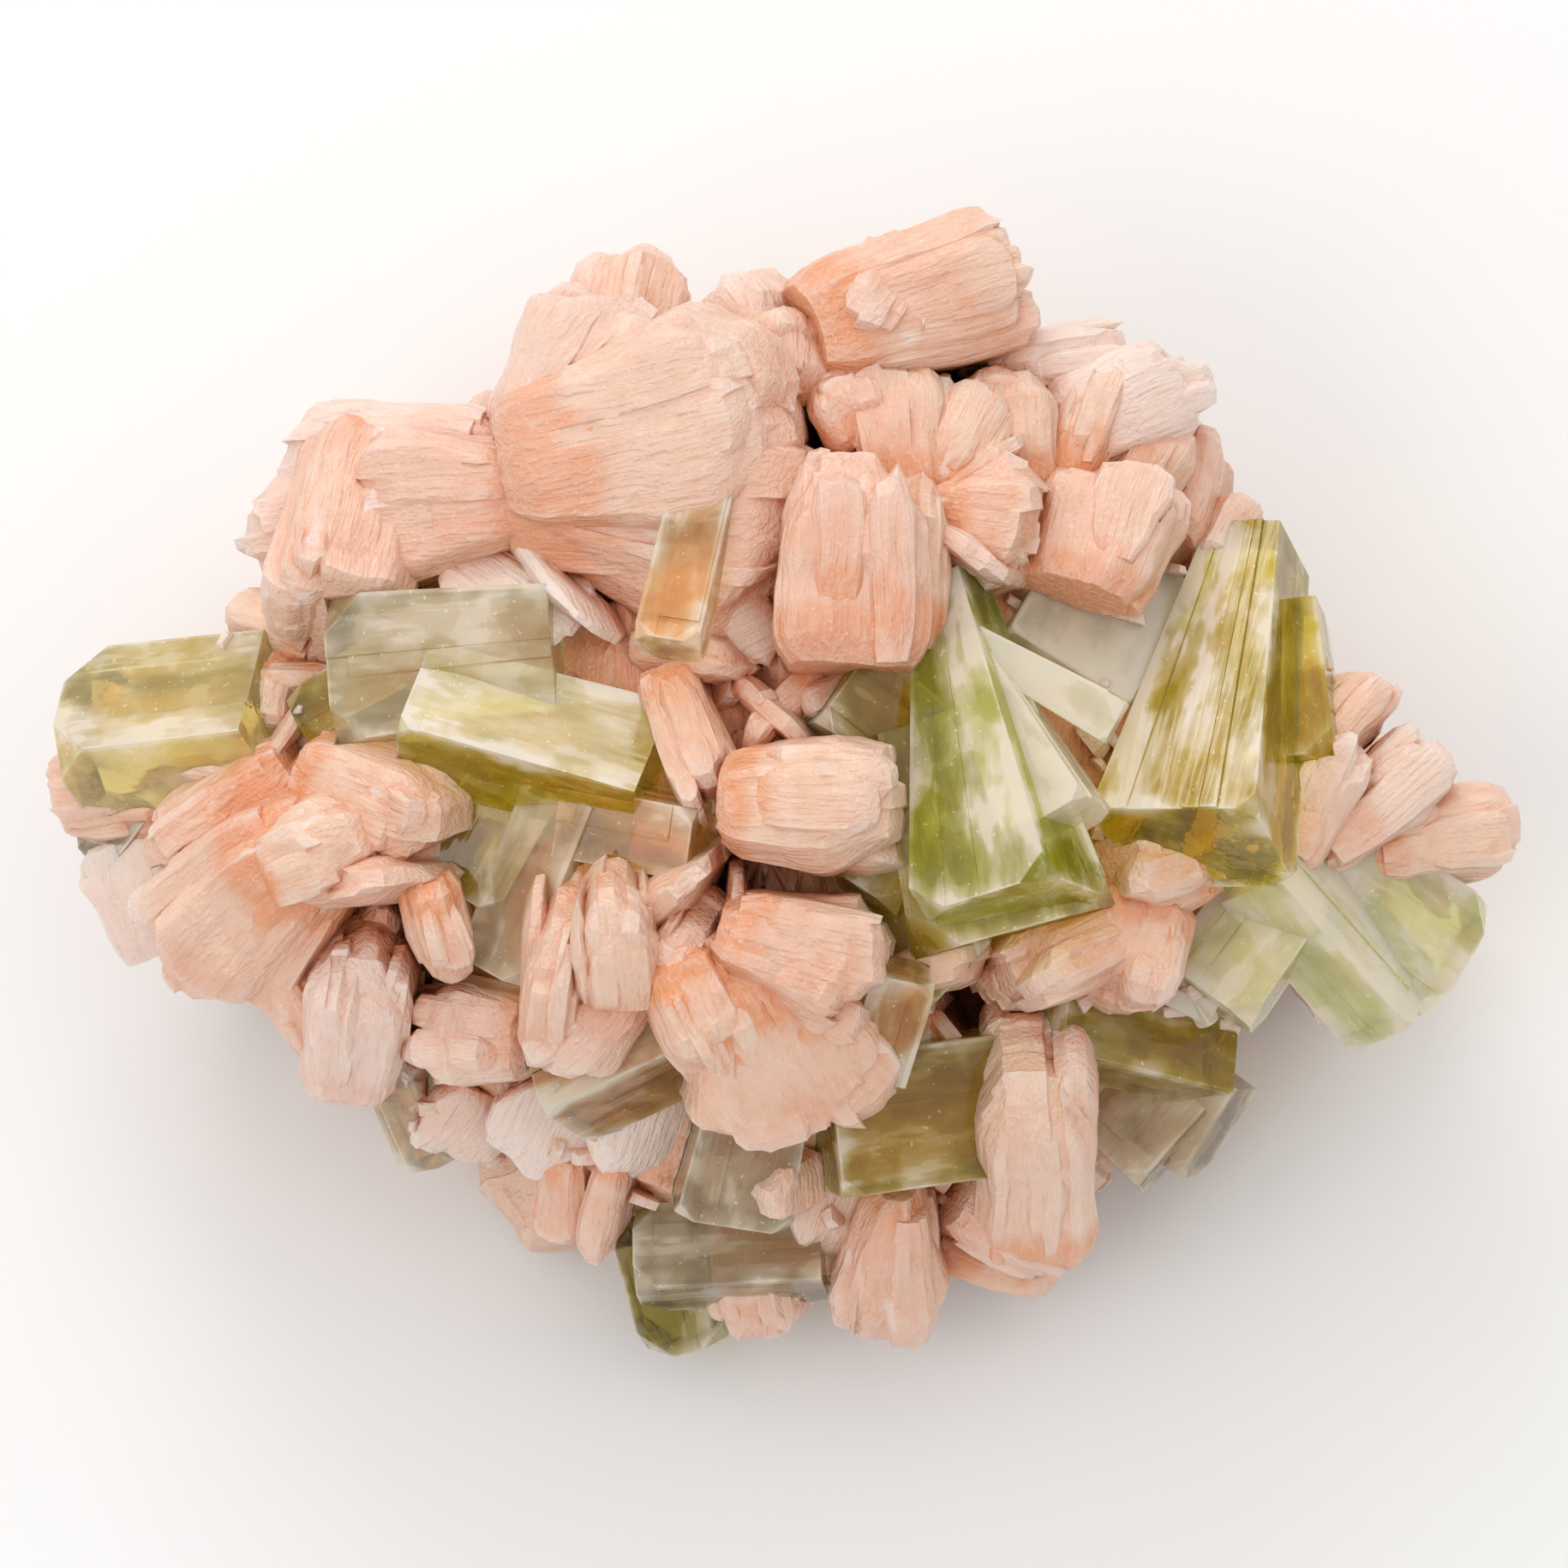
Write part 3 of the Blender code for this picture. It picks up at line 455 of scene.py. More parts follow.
def grid_box(cuts):
    """Unit box on the XY plane, cut into the given number of strips along X, Y and Z."""
    bm = bmesh.new()
    bmesh.ops.create_cube(bm, size=1.0, matrix=Matrix.Translation((0, 0, 0.5)))
    for axis, count in enumerate(cuts):
        if count > 1:
            bmesh.ops.subdivide_edges(bm, edges=edges_along(bm, axis), cuts=count - 1, use_grid_fill=True)
    bm.normal_update()
    return bm


def raised_corners(bm, faces):
    """Extrudes a region of faces in place and returns its new vertices."""
    edges = list(dict.fromkeys(edge for face in faces for edge in face.edges))
    raised = bmesh.ops.extrude_face_region(bm, geom=[*faces, *edges])["geom"]
    return [item for item in raised if isinstance(item, bmesh.types.BMVert)]


def side_faces(bm, axis, sign):
    return [f for f in bm.faces if f.normal[axis] * sign > 0.9]


def raise_strips(bm, axis, sign, across, count, heights, chance, rng):
    """Raises runs of strips on one side of a grid box, so that it shows long steps.

    Heights are shares of the box's size along the axis. Some steps stop short of the box's end.
    """
    faces = side_faces(bm, axis, sign)
    strip = 0
    while strip < count:
        width = rng.choice((1, 2, 3))
        low, high = strip / count - 0.5, (strip + width) / count - 0.5
        top = rng.choice((0.7, 1.0, 1.0))
        run = []
        for face in faces:
            if face.is_valid:
                middle = face.calc_center_median()
                if low < middle[across] < high and middle.z < top:
                    run.append(face)
        if run and rng.random() < chance:
            height = rng.uniform(*heights)
            for vert in raised_corners(bm, run):
                vert.co[axis] += sign * height
        strip += width


def write_fibres(bm, places, tone, painted_sheen):
    """Stores the place in the fibre's own directions, the growth from root to tip, the tone and the share of
    painted sheen.
    """
    fibre = bm.loops.layers.uv.new("fibre")
    depth = bm.loops.layers.uv.new("depth")
    growth = bm.loops.layers.uv.new("growth")
    for face in bm.faces:
        for loop in face.loops:
            across, along, deep, ripe = places[loop.vert.index]
            loop[fibre].uv = (across * GRID + tone, along * GRID)
            loop[depth].uv = (deep * GRID, tone)
            loop[growth].uv = (ripe, painted_sheen)


def layer_lines(count, chance, rng):
    """Grid lines across a sheaf, from -1 to 1, and the layer that each is in. Lines close up at a layer's edge."""
    places = [2 * line / count - 1 for line in range(count + 1)]
    layers = [0]
    shift = LAYER_SHARPNESS * 2 / count
    for line in range(count):
        edge = rng.random() < chance
        if edge and line > 0:
            places[line] += shift
        if edge and line + 1 < count:
            places[line + 1] -= shift
        layers.append(layers[-1] + edge)
    return places, layers


def chamfered(a, b, reach):
    """Moves a place in the square from -1 to 1 into the same square with cut corners."""
    square = max(abs(a), abs(b))
    cut = max(square, (abs(a) + abs(b)) / reach)
    return (a * square / cut, b * square / cut) if cut > 0 else (a, b)


def roof(a, b, slopes, skew):
    """Height share of a blunt hipped end: the lowest of the planes that rise from its four sides."""
    front, back, left, right = slopes
    side = (1.0 - b) * front if b > skew[1] else (1.0 + b) * back
    end = (1.0 - a) * right if a > skew[0] else (1.0 + a) * left
    return min(1.0, ROOF_EAVES + side, ROOF_EAVES * 1.6 + end)


def sheaf_mesh(length, spread, breadth, point, painted_sheen, rng, look, cell=CELL, part=(0.0, 1.0)):
    """A half sheaf along +Z: layers stacked across X that splay out to a blunt, faceted, stepped end.

    The look is the share of the length where the pale end starts, and the tone. The part is the stretch
    of a whole sheaf that this one lies on.
    """
    collar, tone = look
    root_spread, tip_spread = (FULLNESS * size for size in spread)
    breadth *= FULLNESS
    counts = [max(4, round(size / cell)) for size in (tip_spread, breadth)]
    rows = max(4, round(length / (LONG_CELL * cell / CELL)))
    point_height = min(0.4 * length, point * breadth / FULLNESS)
    shaft = length - point_height
    crown = 0.06 + 0.22 * max(0.0, tip_spread - root_spread) / length
    lines_a, layers_a = layer_lines(counts[0], 0.26, rng)
    lines_b, layers_b = layer_lines(counts[1], 0.22, rng)
    plates = [[rng.uniform(-1, 1) for _ in range(4)] for _ in range(layers_a[-1] + 1)]
    ribs = [[rng.uniform(-1, 1) for _ in range(3)] for _ in range(layers_b[-1] + 1)]
    slopes = [rng.uniform(0.7, 2.6) for _ in range(4)]
    skew = (rng.uniform(-0.4, 0.4), rng.uniform(-0.4, 0.4))
    reach = rng.uniform(1.55, 1.85)
    bend = rng.uniform(0, 90)
    tiers = [rng.uniform(0.2, 0.95) for _ in range(rng.choice(TIERS))]
    bm = grid_box((*counts, rows))
    bm.verts.index_update()
    places = {}
    for vert in bm.verts:
        line_a, line_b = round((vert.co.x + 0.5) * counts[0]), round((vert.co.y + 0.5) * counts[1])
        a, b, along = lines_a[line_a], lines_b[line_b], vert.co.z
        plate, rib = plates[layers_a[line_a]], ribs[layers_b[line_b]]
        grown = part[0] + (part[1] - part[0]) * along
        ripe = min(1.0, max(0.0, (grown - collar - 0.10 * plate[3]) / 0.16 + 0.5))
        on_rim = along > 0.999 and max(abs(a), abs(b)) > 0.999
        inset = 1.0 - (RIM_WEAR / min(tip_spread, breadth) if on_rim else 0.0)
        x, y = chamfered(a * inset, b * inset, reach)
        width = root_spread + (tip_spread - root_spread) * along**1.3
        depth = breadth * (1.0 - ROUNDING * a * a) * (1.0 + BULGE * math.sin(math.pi * along))
        rounding = 1.0 - ROOT_ROUNDING * max(0.0, 1.0 - along / 0.22) ** 2
        width, depth = width * rounding, depth * rounding
        high = shaft * (1.0 - crown * a * a) + point_height * roof(a, b, slopes, skew)
        high += TERRACE * (plate[0] + 0.5 * rib[0]) - (RIM_WEAR * 0.5 if on_rim else 0.0)
        rise = PLATE_STEP * (plate[1] if b > 0 else plate[2]) * (0.4 + 0.6 * ripe)
        rise += TIER_STEP * sum(grown + TIER_SHIFT * plate[3] > tier for tier in tiers)
        swell = RIB_STEP * (rib[1] if a > 0 else rib[2])
        place = Vector((x * width / 2 + swell * a, y * depth / 2 + rise * b, along * high))
        rough = noise.noise_vector(Vector((place.x * 0.9 + bend, place.y * 0.9, place.z * 0.30)))
        sway = noise.noise_vector(Vector((place.x * 0.12 + bend, place.y * 0.12, place.z * 0.09)))
        places[vert.index] = (place.x, place.z, place.y, ripe)
        vert.co = place + rough * ROUGHNESS + sway * SWAY
    write_fibres(bm, places, tone, painted_sheen)
    return bm


def star_rays():
    """Root, tip, spread, breadth and roll of the thin blades that fan out across the star."""
    rng = random.Random(SEED + 3)
    for index in range(STAR_RAYS):
        angle = math.radians(STAR_TURN[0] + (STAR_TURN[1] - STAR_TURN[0]) * index / (STAR_RAYS - 1))
        reach = STAR_REACH * rng.uniform(0.9, 1.05)
        x, y, lift = STAR_CENTRE
        root = on_dome((x, y, lift))
        tip = on_dome((x + reach * math.cos(angle), y + reach * math.sin(angle), lift + rng.uniform(1.5, 3.5)))
        yield root, tip, (1.2, rng.uniform(3.0, 4.2)), rng.uniform(8, 12), 0.0


def lying_plates(root, tip, spread, breadth, roll, count, rng):
    """Root, tip, spread, breadth, roll and stretch of the plates that lie along a sheaf's sides."""
    axis = (tip - root).normalized()
    turn = stand_along(root, tip, roll).to_3x3()
    for index in range(count):
        side = rng.choice((-1, 1)) if index % 3 == 2 else (1 if index % 2 else -1)
        share = rng.uniform(0.35, 0.7)
        along_layers = index % 3 != 2
        rise = rng.uniform(*PLATE_RISE)
        if along_layers:
            wide, deep = share * spread[1], rng.uniform(0.3, 0.5) * breadth
            x, y = rng.uniform(-0.5, 0.5) * (spread[1] - wide), side * ((breadth - deep) / 2 + rise)
            fan = x * (1.0 - spread[0] / spread[1])
        else:
            wide, deep = rng.uniform(0.3, 0.5) * spread[1], share * breadth
            x, y = side * ((spread[1] - wide) / 2 + rise), rng.uniform(-0.5, 0.5) * (breadth - deep)
            fan = x * (1.0 - spread[0] / spread[1])
        start, end = rng.uniform(0.0, 0.30), rng.uniform(0.86, 1.02)
        near = root + axis * (tip - root).length * start + turn @ Vector((x - fan * (1 - start), y, 0))
        far = root + axis * (tip - root).length * end + turn @ Vector((x, y * rng.uniform(0.9, 1.04), 0))
        yield near, far, (0.8 * wide, wide), deep, roll + rng.uniform(-6, 6), (start, end)


def sheaf_shapes(root, tip, spread, breadth, roll, point, painted_sheen, rng):
    """The sheaf and the plates that lie on it, as (bmesh, matrix)."""
    look = (rng.uniform(0.1, 0.5), rng.random())
    main = sheaf_mesh((tip - root).length, spread, breadth, point, painted_sheen, rng, look)
    shapes = [(main, stand_along(root, tip, roll))]
    count = PLATES_EACH if breadth * spread[1] > 60 else 0
    for near, far, size, deep, turn, part in lying_plates(root, tip, spread, breadth, roll, count, rng):
        plate = sheaf_mesh((far - near).length, size, deep, point, painted_sheen, rng, look, 1.35 * CELL, part)
        shapes.append((plate, stand_along(near, far, turn)))
    return shapes


def blade_mesh(length, thick, breadth, rng):
    """A small pointed blade along +Z for the crust between the sheaves."""
    bm = bmesh.new()
    bmesh.ops.create_cube(bm, size=1.0, matrix=Matrix.Translation((0, 0, 0.5)))
    bm.normal_update()
    top = side_faces(bm, 2, 1)
    skew = rng.uniform(-0.3, 0.3)
    for vert in bm.verts:
        vert.co = (vert.co.x * thick, vert.co.y * breadth, vert.co.z * length * 0.78)
    for vert in raised_corners(bm, top):
        vert.co.x *= 0.8
        vert.co.y = vert.co.y * rng.uniform(0.2, 0.6) + skew * breadth
        vert.co.z += length * 0.22 * rng.uniform(0.6, 1.0)
    bm.verts.index_update()
    places = {v.index: (v.co.x, v.co.z, v.co.y, v.co.z / length) for v in bm.verts}
    write_fibres(bm, places, rng.random(), 0.0)
    return bm


def cut_corner(bm, point, normal):
    """Cuts off what lies beyond a plane and closes the cut."""
    cut = bmesh.ops.bisect_plane(
        bm, geom=[*bm.verts, *bm.edges, *bm.faces], dist=0.0001, plane_co=point, plane_no=normal,
        clear_outer=True,
    )["geom_cut"]
    rim = [item for item in cut if isinstance(item, bmesh.types.BMEdge)]
    if rim:
        bmesh.ops.contextual_create(bm, geom=rim)


def write_rims(bm, length, root_size, tip_size):
    """Stores how near each corner of a prism's faces is to an edge of the prism, from 0 to 1."""
    depth = bm.loops.layers.uv["depth"]
    for face in bm.faces:
        for loop in face.loops:
            x, y, z = loop.vert.co
            share = z / length
            width = root_size[0] + (tip_size[0] - root_size[0]) * share
            thick = root_size[1] + (tip_size[1] - root_size[1]) * share
            gaps = sorted((width / 2 - abs(x), thick / 2 - abs(y), length - z))
            loop[depth].uv.y = min(1.0, max(0.0, 1 - gaps[1] / PRISM_RIM))


def prism_mesh(length, root_size, tip_size, corner, rng):
    """A square prism along +Z with lined, stepped sides, whose far corners the pyramid faces cut."""
    strips = [max(2, round(side / PRISM_STRIP)) for side in tip_size]
    bm = grid_box((strips[0], strips[1], 4))
    for axis, across in ((0, 1), (1, 0)):
        low, high = (height / tip_size[axis] for height in PRISM_STEP)
        for sign in (-1, 1):
            raise_strips(bm, axis, sign, across, strips[across], (low, high), 0.3, rng)
    last = 1 - PRISM_RIM / length
    for vert in bm.verts:
        along = 1.0 if vert.co.z > 0.99 else vert.co.z / 0.75 * last
        width = root_size[0] + (tip_size[0] - root_size[0]) * along
        depth = root_size[1] + (tip_size[1] - root_size[1]) * along
        vert.co = (vert.co.x * width, vert.co.y * depth, along * length)
    offset = corner * min(tip_size)
    half_width, half_depth = tip_size[0] / 2, tip_size[1] / 2
    for across in (-1, 1):
        for deep in (-1, 1):
            cut_corner(bm, ((half_width - offset) * across, half_depth * deep, length), (across, deep, 1.0))
    bm.normal_update()
    worn_and_bright_edges = [e for e in bm.edges if len(e.link_faces) == 2 and e.calc_face_angle() > math.radians(25)]
    bmesh.ops.bevel(
        bm, geom=worn_and_bright_edges, offset=EDGE_WEAR, offset_type="OFFSET", affect="EDGES", clamp_overlap=True,
        segments=1, profile=0.5, material=-1,
    )
    bmesh.ops.remove_doubles(bm, verts=bm.verts, dist=0.002)
    bm.verts.index_update()
    places = {v.index: (v.co.x, v.co.z, v.co.y, v.co.z / length) for v in bm.verts}
    write_fibres(bm, places, rng.random(), 0.0)
    write_rims(bm, length, root_size, tip_size)
    return bm


def lump_mesh():
    """The stilbite lump: a skirt that runs below the base plane, and rings that close over the dome."""
    bm = bmesh.new()
    skirt_scale, skirt_depth = LUMP_SKIRT[-1]
    verts = [bm.verts.new((x * skirt_scale, y * skirt_scale, skirt_depth)) for x, y in LUMP_OUTLINE]
    top = bm.faces.new(verts)
    levels = [(s, z) for s, z in reversed(LUMP_SKIRT[:-1])] + [(s, None) for s in LUMP_RINGS]
    for scale, height in levels:
        top = raised_corners(bm, [top])[0].link_faces
        top = max(top, key=lambda face: len(face.verts))
        ring = sorted_ring(top)
        for vert, (x, y) in zip(ring, LUMP_OUTLINE):
            x, y = x * scale, y * scale
            vert.co = (x, y, dome_height(x, y) + LUMP_RISE if height is None else height)
            vert.co += noise.noise_vector(vert.co * 0.13) * LUMP_ROUGHNESS
    bmesh.ops.triangulate(bm, faces=bm.faces)
    bmesh.ops.subdivide_edges(bm, edges=bm.edges, cuts=LUMP_CUTS, use_grid_fill=True)
    for vert in bm.verts:
        vert.co += noise.noise_vector(vert.co * 0.45) * LUMP_GRAIN
        nearness = max(0.0, 1.0 - (vert.co.xy - Vector(CAVE)).length / CAVE_RADIUS)
        vert.co.z -= CAVE_DEPTH * min(1.0, 2 * nearness) if vert.co.z > 0 else 0.0
    bm.verts.index_update()
    write_fibres(bm, {v.index: (*v.co, 0.3) for v in bm.verts}, 0.5, 0.0)
    return bm


def sorted_ring(face):
    """The face's vertices from the one nearest to the outline's first point, in the outline's order."""
    ring = list(face.verts)
    first = Vector(LUMP_OUTLINE[0])
    angles = [first.angle_signed(v.co.xy, 0.0) for v in ring]
    start = min(range(len(ring)), key=lambda i: abs(angles[i]))
    ring = ring[start:] + ring[:start]
    if ring[1].co.xy.angle_signed(ring[0].co.xy, 0.0) * winding() < 0:
        ring = ring[:1] + ring[:0:-1]
    return ring


def winding():
    first, second = Vector(LUMP_OUTLINE[0]), Vector(LUMP_OUTLINE[1])
    return 1.0 if second.angle_signed(first, 0.0) > 0 else -1.0


def flank_sheaves():
    """Root, tip, spread, breadth and roll of the seeded sheaves on the flanks."""
    rng = random.Random(SEED)
    rows = []
    for index in range(FLANK_SHEAVES):
        turn = index / FLANK_SHEAVES * len(LUMP_OUTLINE)
        near, far = LUMP_OUTLINE[int(turn)], LUMP_OUTLINE[(int(turn) + 1) % len(LUMP_OUTLINE)]
        rim = Vector(near).lerp(Vector(far), turn % 1)
        level = FLANK_LEVELS[index % len(FLANK_LEVELS)]
        reach = rng.uniform(0.98, 1.04) + 0.003 * level
        root = Vector((rim.x * FLANK_ROOT, rim.y * FLANK_ROOT, level - rng.uniform(-0.6, 1.0) * FLANK_RISE))
        aside = Vector((-rim.y, rim.x)).normalized() * rng.choice((-1, 1)) * rng.uniform(6, 18)
        tip = Vector((rim.x * reach + aside.x, rim.y * reach + aside.y, level))
        spread = (rng.uniform(8, 10), rng.uniform(11, 16))
        rows.append((root, tip, spread, rng.uniform(14, 20), rng.uniform(0, 180)))
    return rows


def druse_blades(count):
    """Root, tip, thickness, breadth and roll of the small blades of the crust."""
    rng = random.Random(SEED + 1)
    for index in range(count):
        angle = rng.uniform(0, 2 * math.pi)
        if index % 5 < 3:
            reach = math.sqrt(rng.uniform(0.02, 0.95)) * 0.92
            x, y = DOME_REACH[0] * reach * math.cos(angle) * 0.88, DOME_REACH[1] * reach * math.sin(angle) * 0.88
            if (Vector((x, y)) - Vector(CAVE)).length < CAVE_RADIUS:
                continue
            root = on_dome((x, y, -1.0))
            heading = Vector((x / 90, y / 70, 0.9))
        else:
            turn = rng.uniform(0, len(LUMP_OUTLINE) - 0.001)
            near, far = LUMP_OUTLINE[int(turn)], LUMP_OUTLINE[(int(turn) + 1) % len(LUMP_OUTLINE)]
            rim = Vector(near).lerp(Vector(far), turn % 1)
            level = rng.uniform(-30, 2)
            root = Vector((rim.x * 0.9, rim.y * 0.9, level))
            heading = Vector((rim.x, rim.y, 10)).normalized()
        heading += Vector([rng.uniform(-0.8, 0.8) for _ in range(3)])
        length = rng.uniform(4.0, 9.0)
        tip = root + heading.normalized() * length
        thick = rng.uniform(0.8, 2.0)
        yield root, tip, thick, thick * rng.uniform(1.8, 3.2), rng.uniform(0, 180)


def new_object(name, bm, materials, collection=None):
    bm.normal_update()
    bmesh.ops.recalc_face_normals(bm, faces=bm.faces)
    mesh = bpy.data.meshes.new(name)
    bm.to_mesh(mesh)
    bm.free()
    for material in materials:
        mesh.materials.append(material)
    obj = bpy.data.objects.new(name, mesh)
    (collection or bpy.context.scene.collection).objects.link(obj)
    return obj


def floor_block():
    """A block under the base plane, which saws the base flat."""
    bm = bmesh.new()
    side, deep = 2 * SPECIMEN_WIDTH, 0.5 * SPECIMEN_WIDTH
    bmesh.ops.create_cube(bm, size=1.0)
    bmesh.ops.scale(bm, vec=(side, side, deep), verts=bm.verts)
    bmesh.ops.translate(bm, vec=(0, 0, -deep / 2), verts=bm.verts)
    bm.verts.index_update()
    write_fibres(bm, {v.index: (*v.co / GRID, 0.6) for v in bm.verts}, 0.5, 0.0)
    return bm


def prism_blocks(margin):
    """Each apophyllite prism as (matrix, length, root size, tip size), let out by a margin."""
    for rows in PRISMS.values():
        for root, tip, root_size, tip_size, roll, corner in rows:
            root, tip = on_dome(root), on_dome(tip)
            sizes = [[side + 2 * margin for side in size] for size in (root_size, tip_size)]
            matrix = face_matrix() @ stand_along(root, tip, roll)
            yield matrix, (tip - root).length + margin, *sizes


def socket_mesh(length, root_size, tip_size):
    """A tapered box along +Z that cuts a prism's socket into the stilbite."""
    bm = grid_box((1, 1, 1))
    for vert in bm.verts:
        width, depth = tip_size if vert.co.z > 0.5 else root_size
        vert.co = (vert.co.x * width, vert.co.y * depth, vert.co.z * length)
    bm.verts.index_update()
    write_fibres(bm, {v.index: (v.co.x, v.co.z, v.co.y, 0.9) for v in bm.verts}, 0.5, 0.0)
    return bm


def inside_prism(place, blocks):
    """Whether a place is inside one of the prisms, given as (inverse matrix, length, root and tip size)."""
    for inverse, length, root_size, tip_size in blocks:
        x, y, z = inverse @ place
        if 0.0 < z < length:
            share = z / length
            width = root_size[0] + (tip_size[0] - root_size[0]) * share
            depth = root_size[1] + (tip_size[1] - root_size[1]) * share
            if abs(x) < width / 2 and abs(y) < depth / 2:
                return True
    return False


def grown_together(name, body, shapes, material):
    """One closed skin from overlapping shapes, with sockets for the prisms and sawn flat at the base."""
    growing = bpy.data.collections.new("growing")
    bpy.context.scene.collection.children.link(growing)
    body.transform(face_matrix())
    skin = new_object(name, body, [material])
    for bm, matrix in shapes:
        bm.transform(face_matrix() @ matrix)
        new_object("shape", bm, [material], growing)
    cutting = bpy.data.collections.new("cutting")
    bpy.context.scene.collection.children.link(cutting)
    new_object("saw", floor_block(), [material], cutting)
    for matrix, *sizes in prism_blocks(SOCKET_GAP):
        bm = socket_mesh(*sizes)
        bm.transform(matrix)
        new_object("socket", bm, [material], cutting)
    for operation, operands in (("UNION", growing), ("DIFFERENCE", cutting)):
        modifier = skin.modifiers.new(operation.title(), "BOOLEAN")
        modifier.operation = operation
        modifier.solver = "MANIFOLD"
        modifier.operand_type = "COLLECTION"
        modifier.collection = operands
    graph = bpy.context.evaluated_depsgraph_get()
    mesh = bpy.data.meshes.new_from_object(skin.evaluated_get(graph))
    skin.modifiers.clear()
    skin.data = mesh
    for helpers in (growing, cutting):
        for helper in list(helpers.objects):
            bpy.data.objects.remove(helper)
        bpy.data.collections.remove(helpers)
    mesh.name = name
    if len(mesh.polygons) < 1000:
        raise RuntimeError(f"{name} didn't grow together")
    return skin


def in_cave(place):
    """Whether a place on the specimen's face is deep in the hollow, where near-black shade is painted."""
    beside = math.dist(place[:2], CAVE)
    return beside < CAVE_RADIUS and place[2] < dome_height(*place[:2]) - CAVE_MOUTH


def openness(obj, reach, rays, rng):
    """Share of short rays from each vertex that meet nothing, kept as an attribute by which the stilbite's colour
    paints shade into its crevices.

    A vertex in a prism counts as open, because the clear crystal lets the light in.
    """
    mesh = obj.data
    blocks = [(matrix.inverted(), *sizes) for matrix, *sizes in prism_blocks(0.4)]
    to_face = face_matrix().inverted()
    tree = BVHTree.FromPolygons([v.co for v in mesh.vertices], [tuple(p.vertices) for p in mesh.polygons])
    spread = [Vector([rng.gauss(0, 1) for _ in range(3)]).normalized() for _ in range(rays)]
    shares = []
    for vert in mesh.vertices:
        # Vertices deep in the hollow count as closed, so that near-black shade is painted there
        if in_cave(to_face @ vert.co):
            shares.append(0.0)
            continue
        if inside_prism(vert.co, blocks):
            shares.append(1.0)
            continue
        start = vert.co + vert.normal * 0.0001
        free = 0
        for direction in spread:
            aim = (direction + vert.normal * 1.05).normalized()
            free += tree.ray_cast(start, aim, reach)[0] is None
        shares.append(free / rays)
    mesh.attributes.new("open", "FLOAT", "POINT").data.foreach_set("value", shares)


def draw_inside(obj):
    """Squashes the outermost part of a piece where it would reach past the solids' box."""
    for axis in range(3):
        for sign, limit in ((1, CAD_BOX[1][axis]), (-1, -CAD_BOX[0][axis])):
            start = limit - SQUASH_DEPTH
            reach = max(vert.co[axis] * sign for vert in obj.data.vertices)
            if reach > limit:
                for vert in obj.data.vertices:
                    beyond = vert.co[axis] * sign - start
                    if beyond > 0:
                        vert.co[axis] = sign * (start + beyond * SQUASH_DEPTH / (reach - start))


def smooth_by_angle(obj, degrees):
    obj.data.shade_smooth()
    obj.data.set_sharp_from_angle(angle=math.radians(degrees))


def belongs(obj, slot, *nodes):
    """Parents a piece to the specimen's body and hides the imported nodes that it stands for. The slot is not used.
    """
    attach(obj, "root")
    if nodes:
        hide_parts(*nodes)


def new_material(name):
    material = bpy.data.materials.new(name)
    material.use_nodes = True
    tree = material.node_tree
    return material, tree, tree.nodes["Principled BSDF"]


def add_node(tree, kind, settings=(), **inputs):
    """A node with its settings, its plain values and the sockets that feed it."""
    node = tree.nodes.new(kind)
    for key, value in dict(settings).items():
        setattr(node, key, value)
    for key, value in inputs.items():
        socket = node.inputs[int(key[1:]) if key[0] == "i" and key[1:].isdigit() else key.replace("_", " ")]
        if isinstance(value, bpy.types.NodeSocket):
            tree.links.new(value, socket)
        else:
            socket.default_value = value
    return node


def maths(tree, operation, first, second=0.0, clamp=False):
    return add_node(tree, "ShaderNodeMath", {"operation": operation, "use_clamp": clamp}, i0=first, i1=second).outputs[0]


def blend_colour(tree, share, first, second):
    node = add_node(tree, "ShaderNodeMix", {"data_type": "RGBA"}, i0=share, i6=first, i7=second)
    return node.outputs[2]


def remap(tree, value, low, high, to_low=0.0, to_high=1.0):
    return add_node(tree, "ShaderNodeMapRange", {"clamp": True}, i0=value, i1=low, i2=high, i3=to_low, i4=to_high).outputs[0]


def fibre_places(tree):
    """Place across the fibres, along them and through them, growth from root to tip, tone and the share of painted
    sheen, which on the prisms holds their whiter faces.
    """
    pairs = []
    for name in ("fibre", "depth", "growth"):
        uv = add_node(tree, "ShaderNodeUVMap", {"uv_map": name}).outputs[0]
        pairs.append(add_node(tree, "ShaderNodeSeparateXYZ", Vector=uv))
    across, along = pairs[0].outputs[0], pairs[0].outputs[1]
    deep, tone = pairs[1].outputs[0], pairs[1].outputs[1]
    growth, painted_sheen = pairs[2].outputs[0], pairs[2].outputs[1]
    return across, along, deep, growth, tone, painted_sheen


def grain_noise(tree, across, along, deep, scale, stretch, detail):
    """Noise drawn out along the fibres."""
    slow = maths(tree, "MULTIPLY", along, stretch)
    place = add_node(tree, "ShaderNodeCombineXYZ", i0=across, i1=deep, i2=slow).outputs[0]
    return add_node(tree, "ShaderNodeTexNoise", Vector=place, Scale=scale, Detail=detail, Roughness=0.6).outputs[0]


def object_noise(tree, scale, detail):
    place = add_node(tree, "ShaderNodeTexCoord").outputs["Object"]
    return add_node(tree, "ShaderNodeTexNoise", Vector=place, Scale=scale, Detail=detail, Roughness=0.55).outputs[0]


def bump_up(tree, height, strength, distance, below=None):
    node = add_node(tree, "ShaderNodeBump", Height=height, Strength=strength, Distance=distance)
    if below is not None:
        tree.links.new(below, node.inputs["Normal"])
    return node.outputs[0]


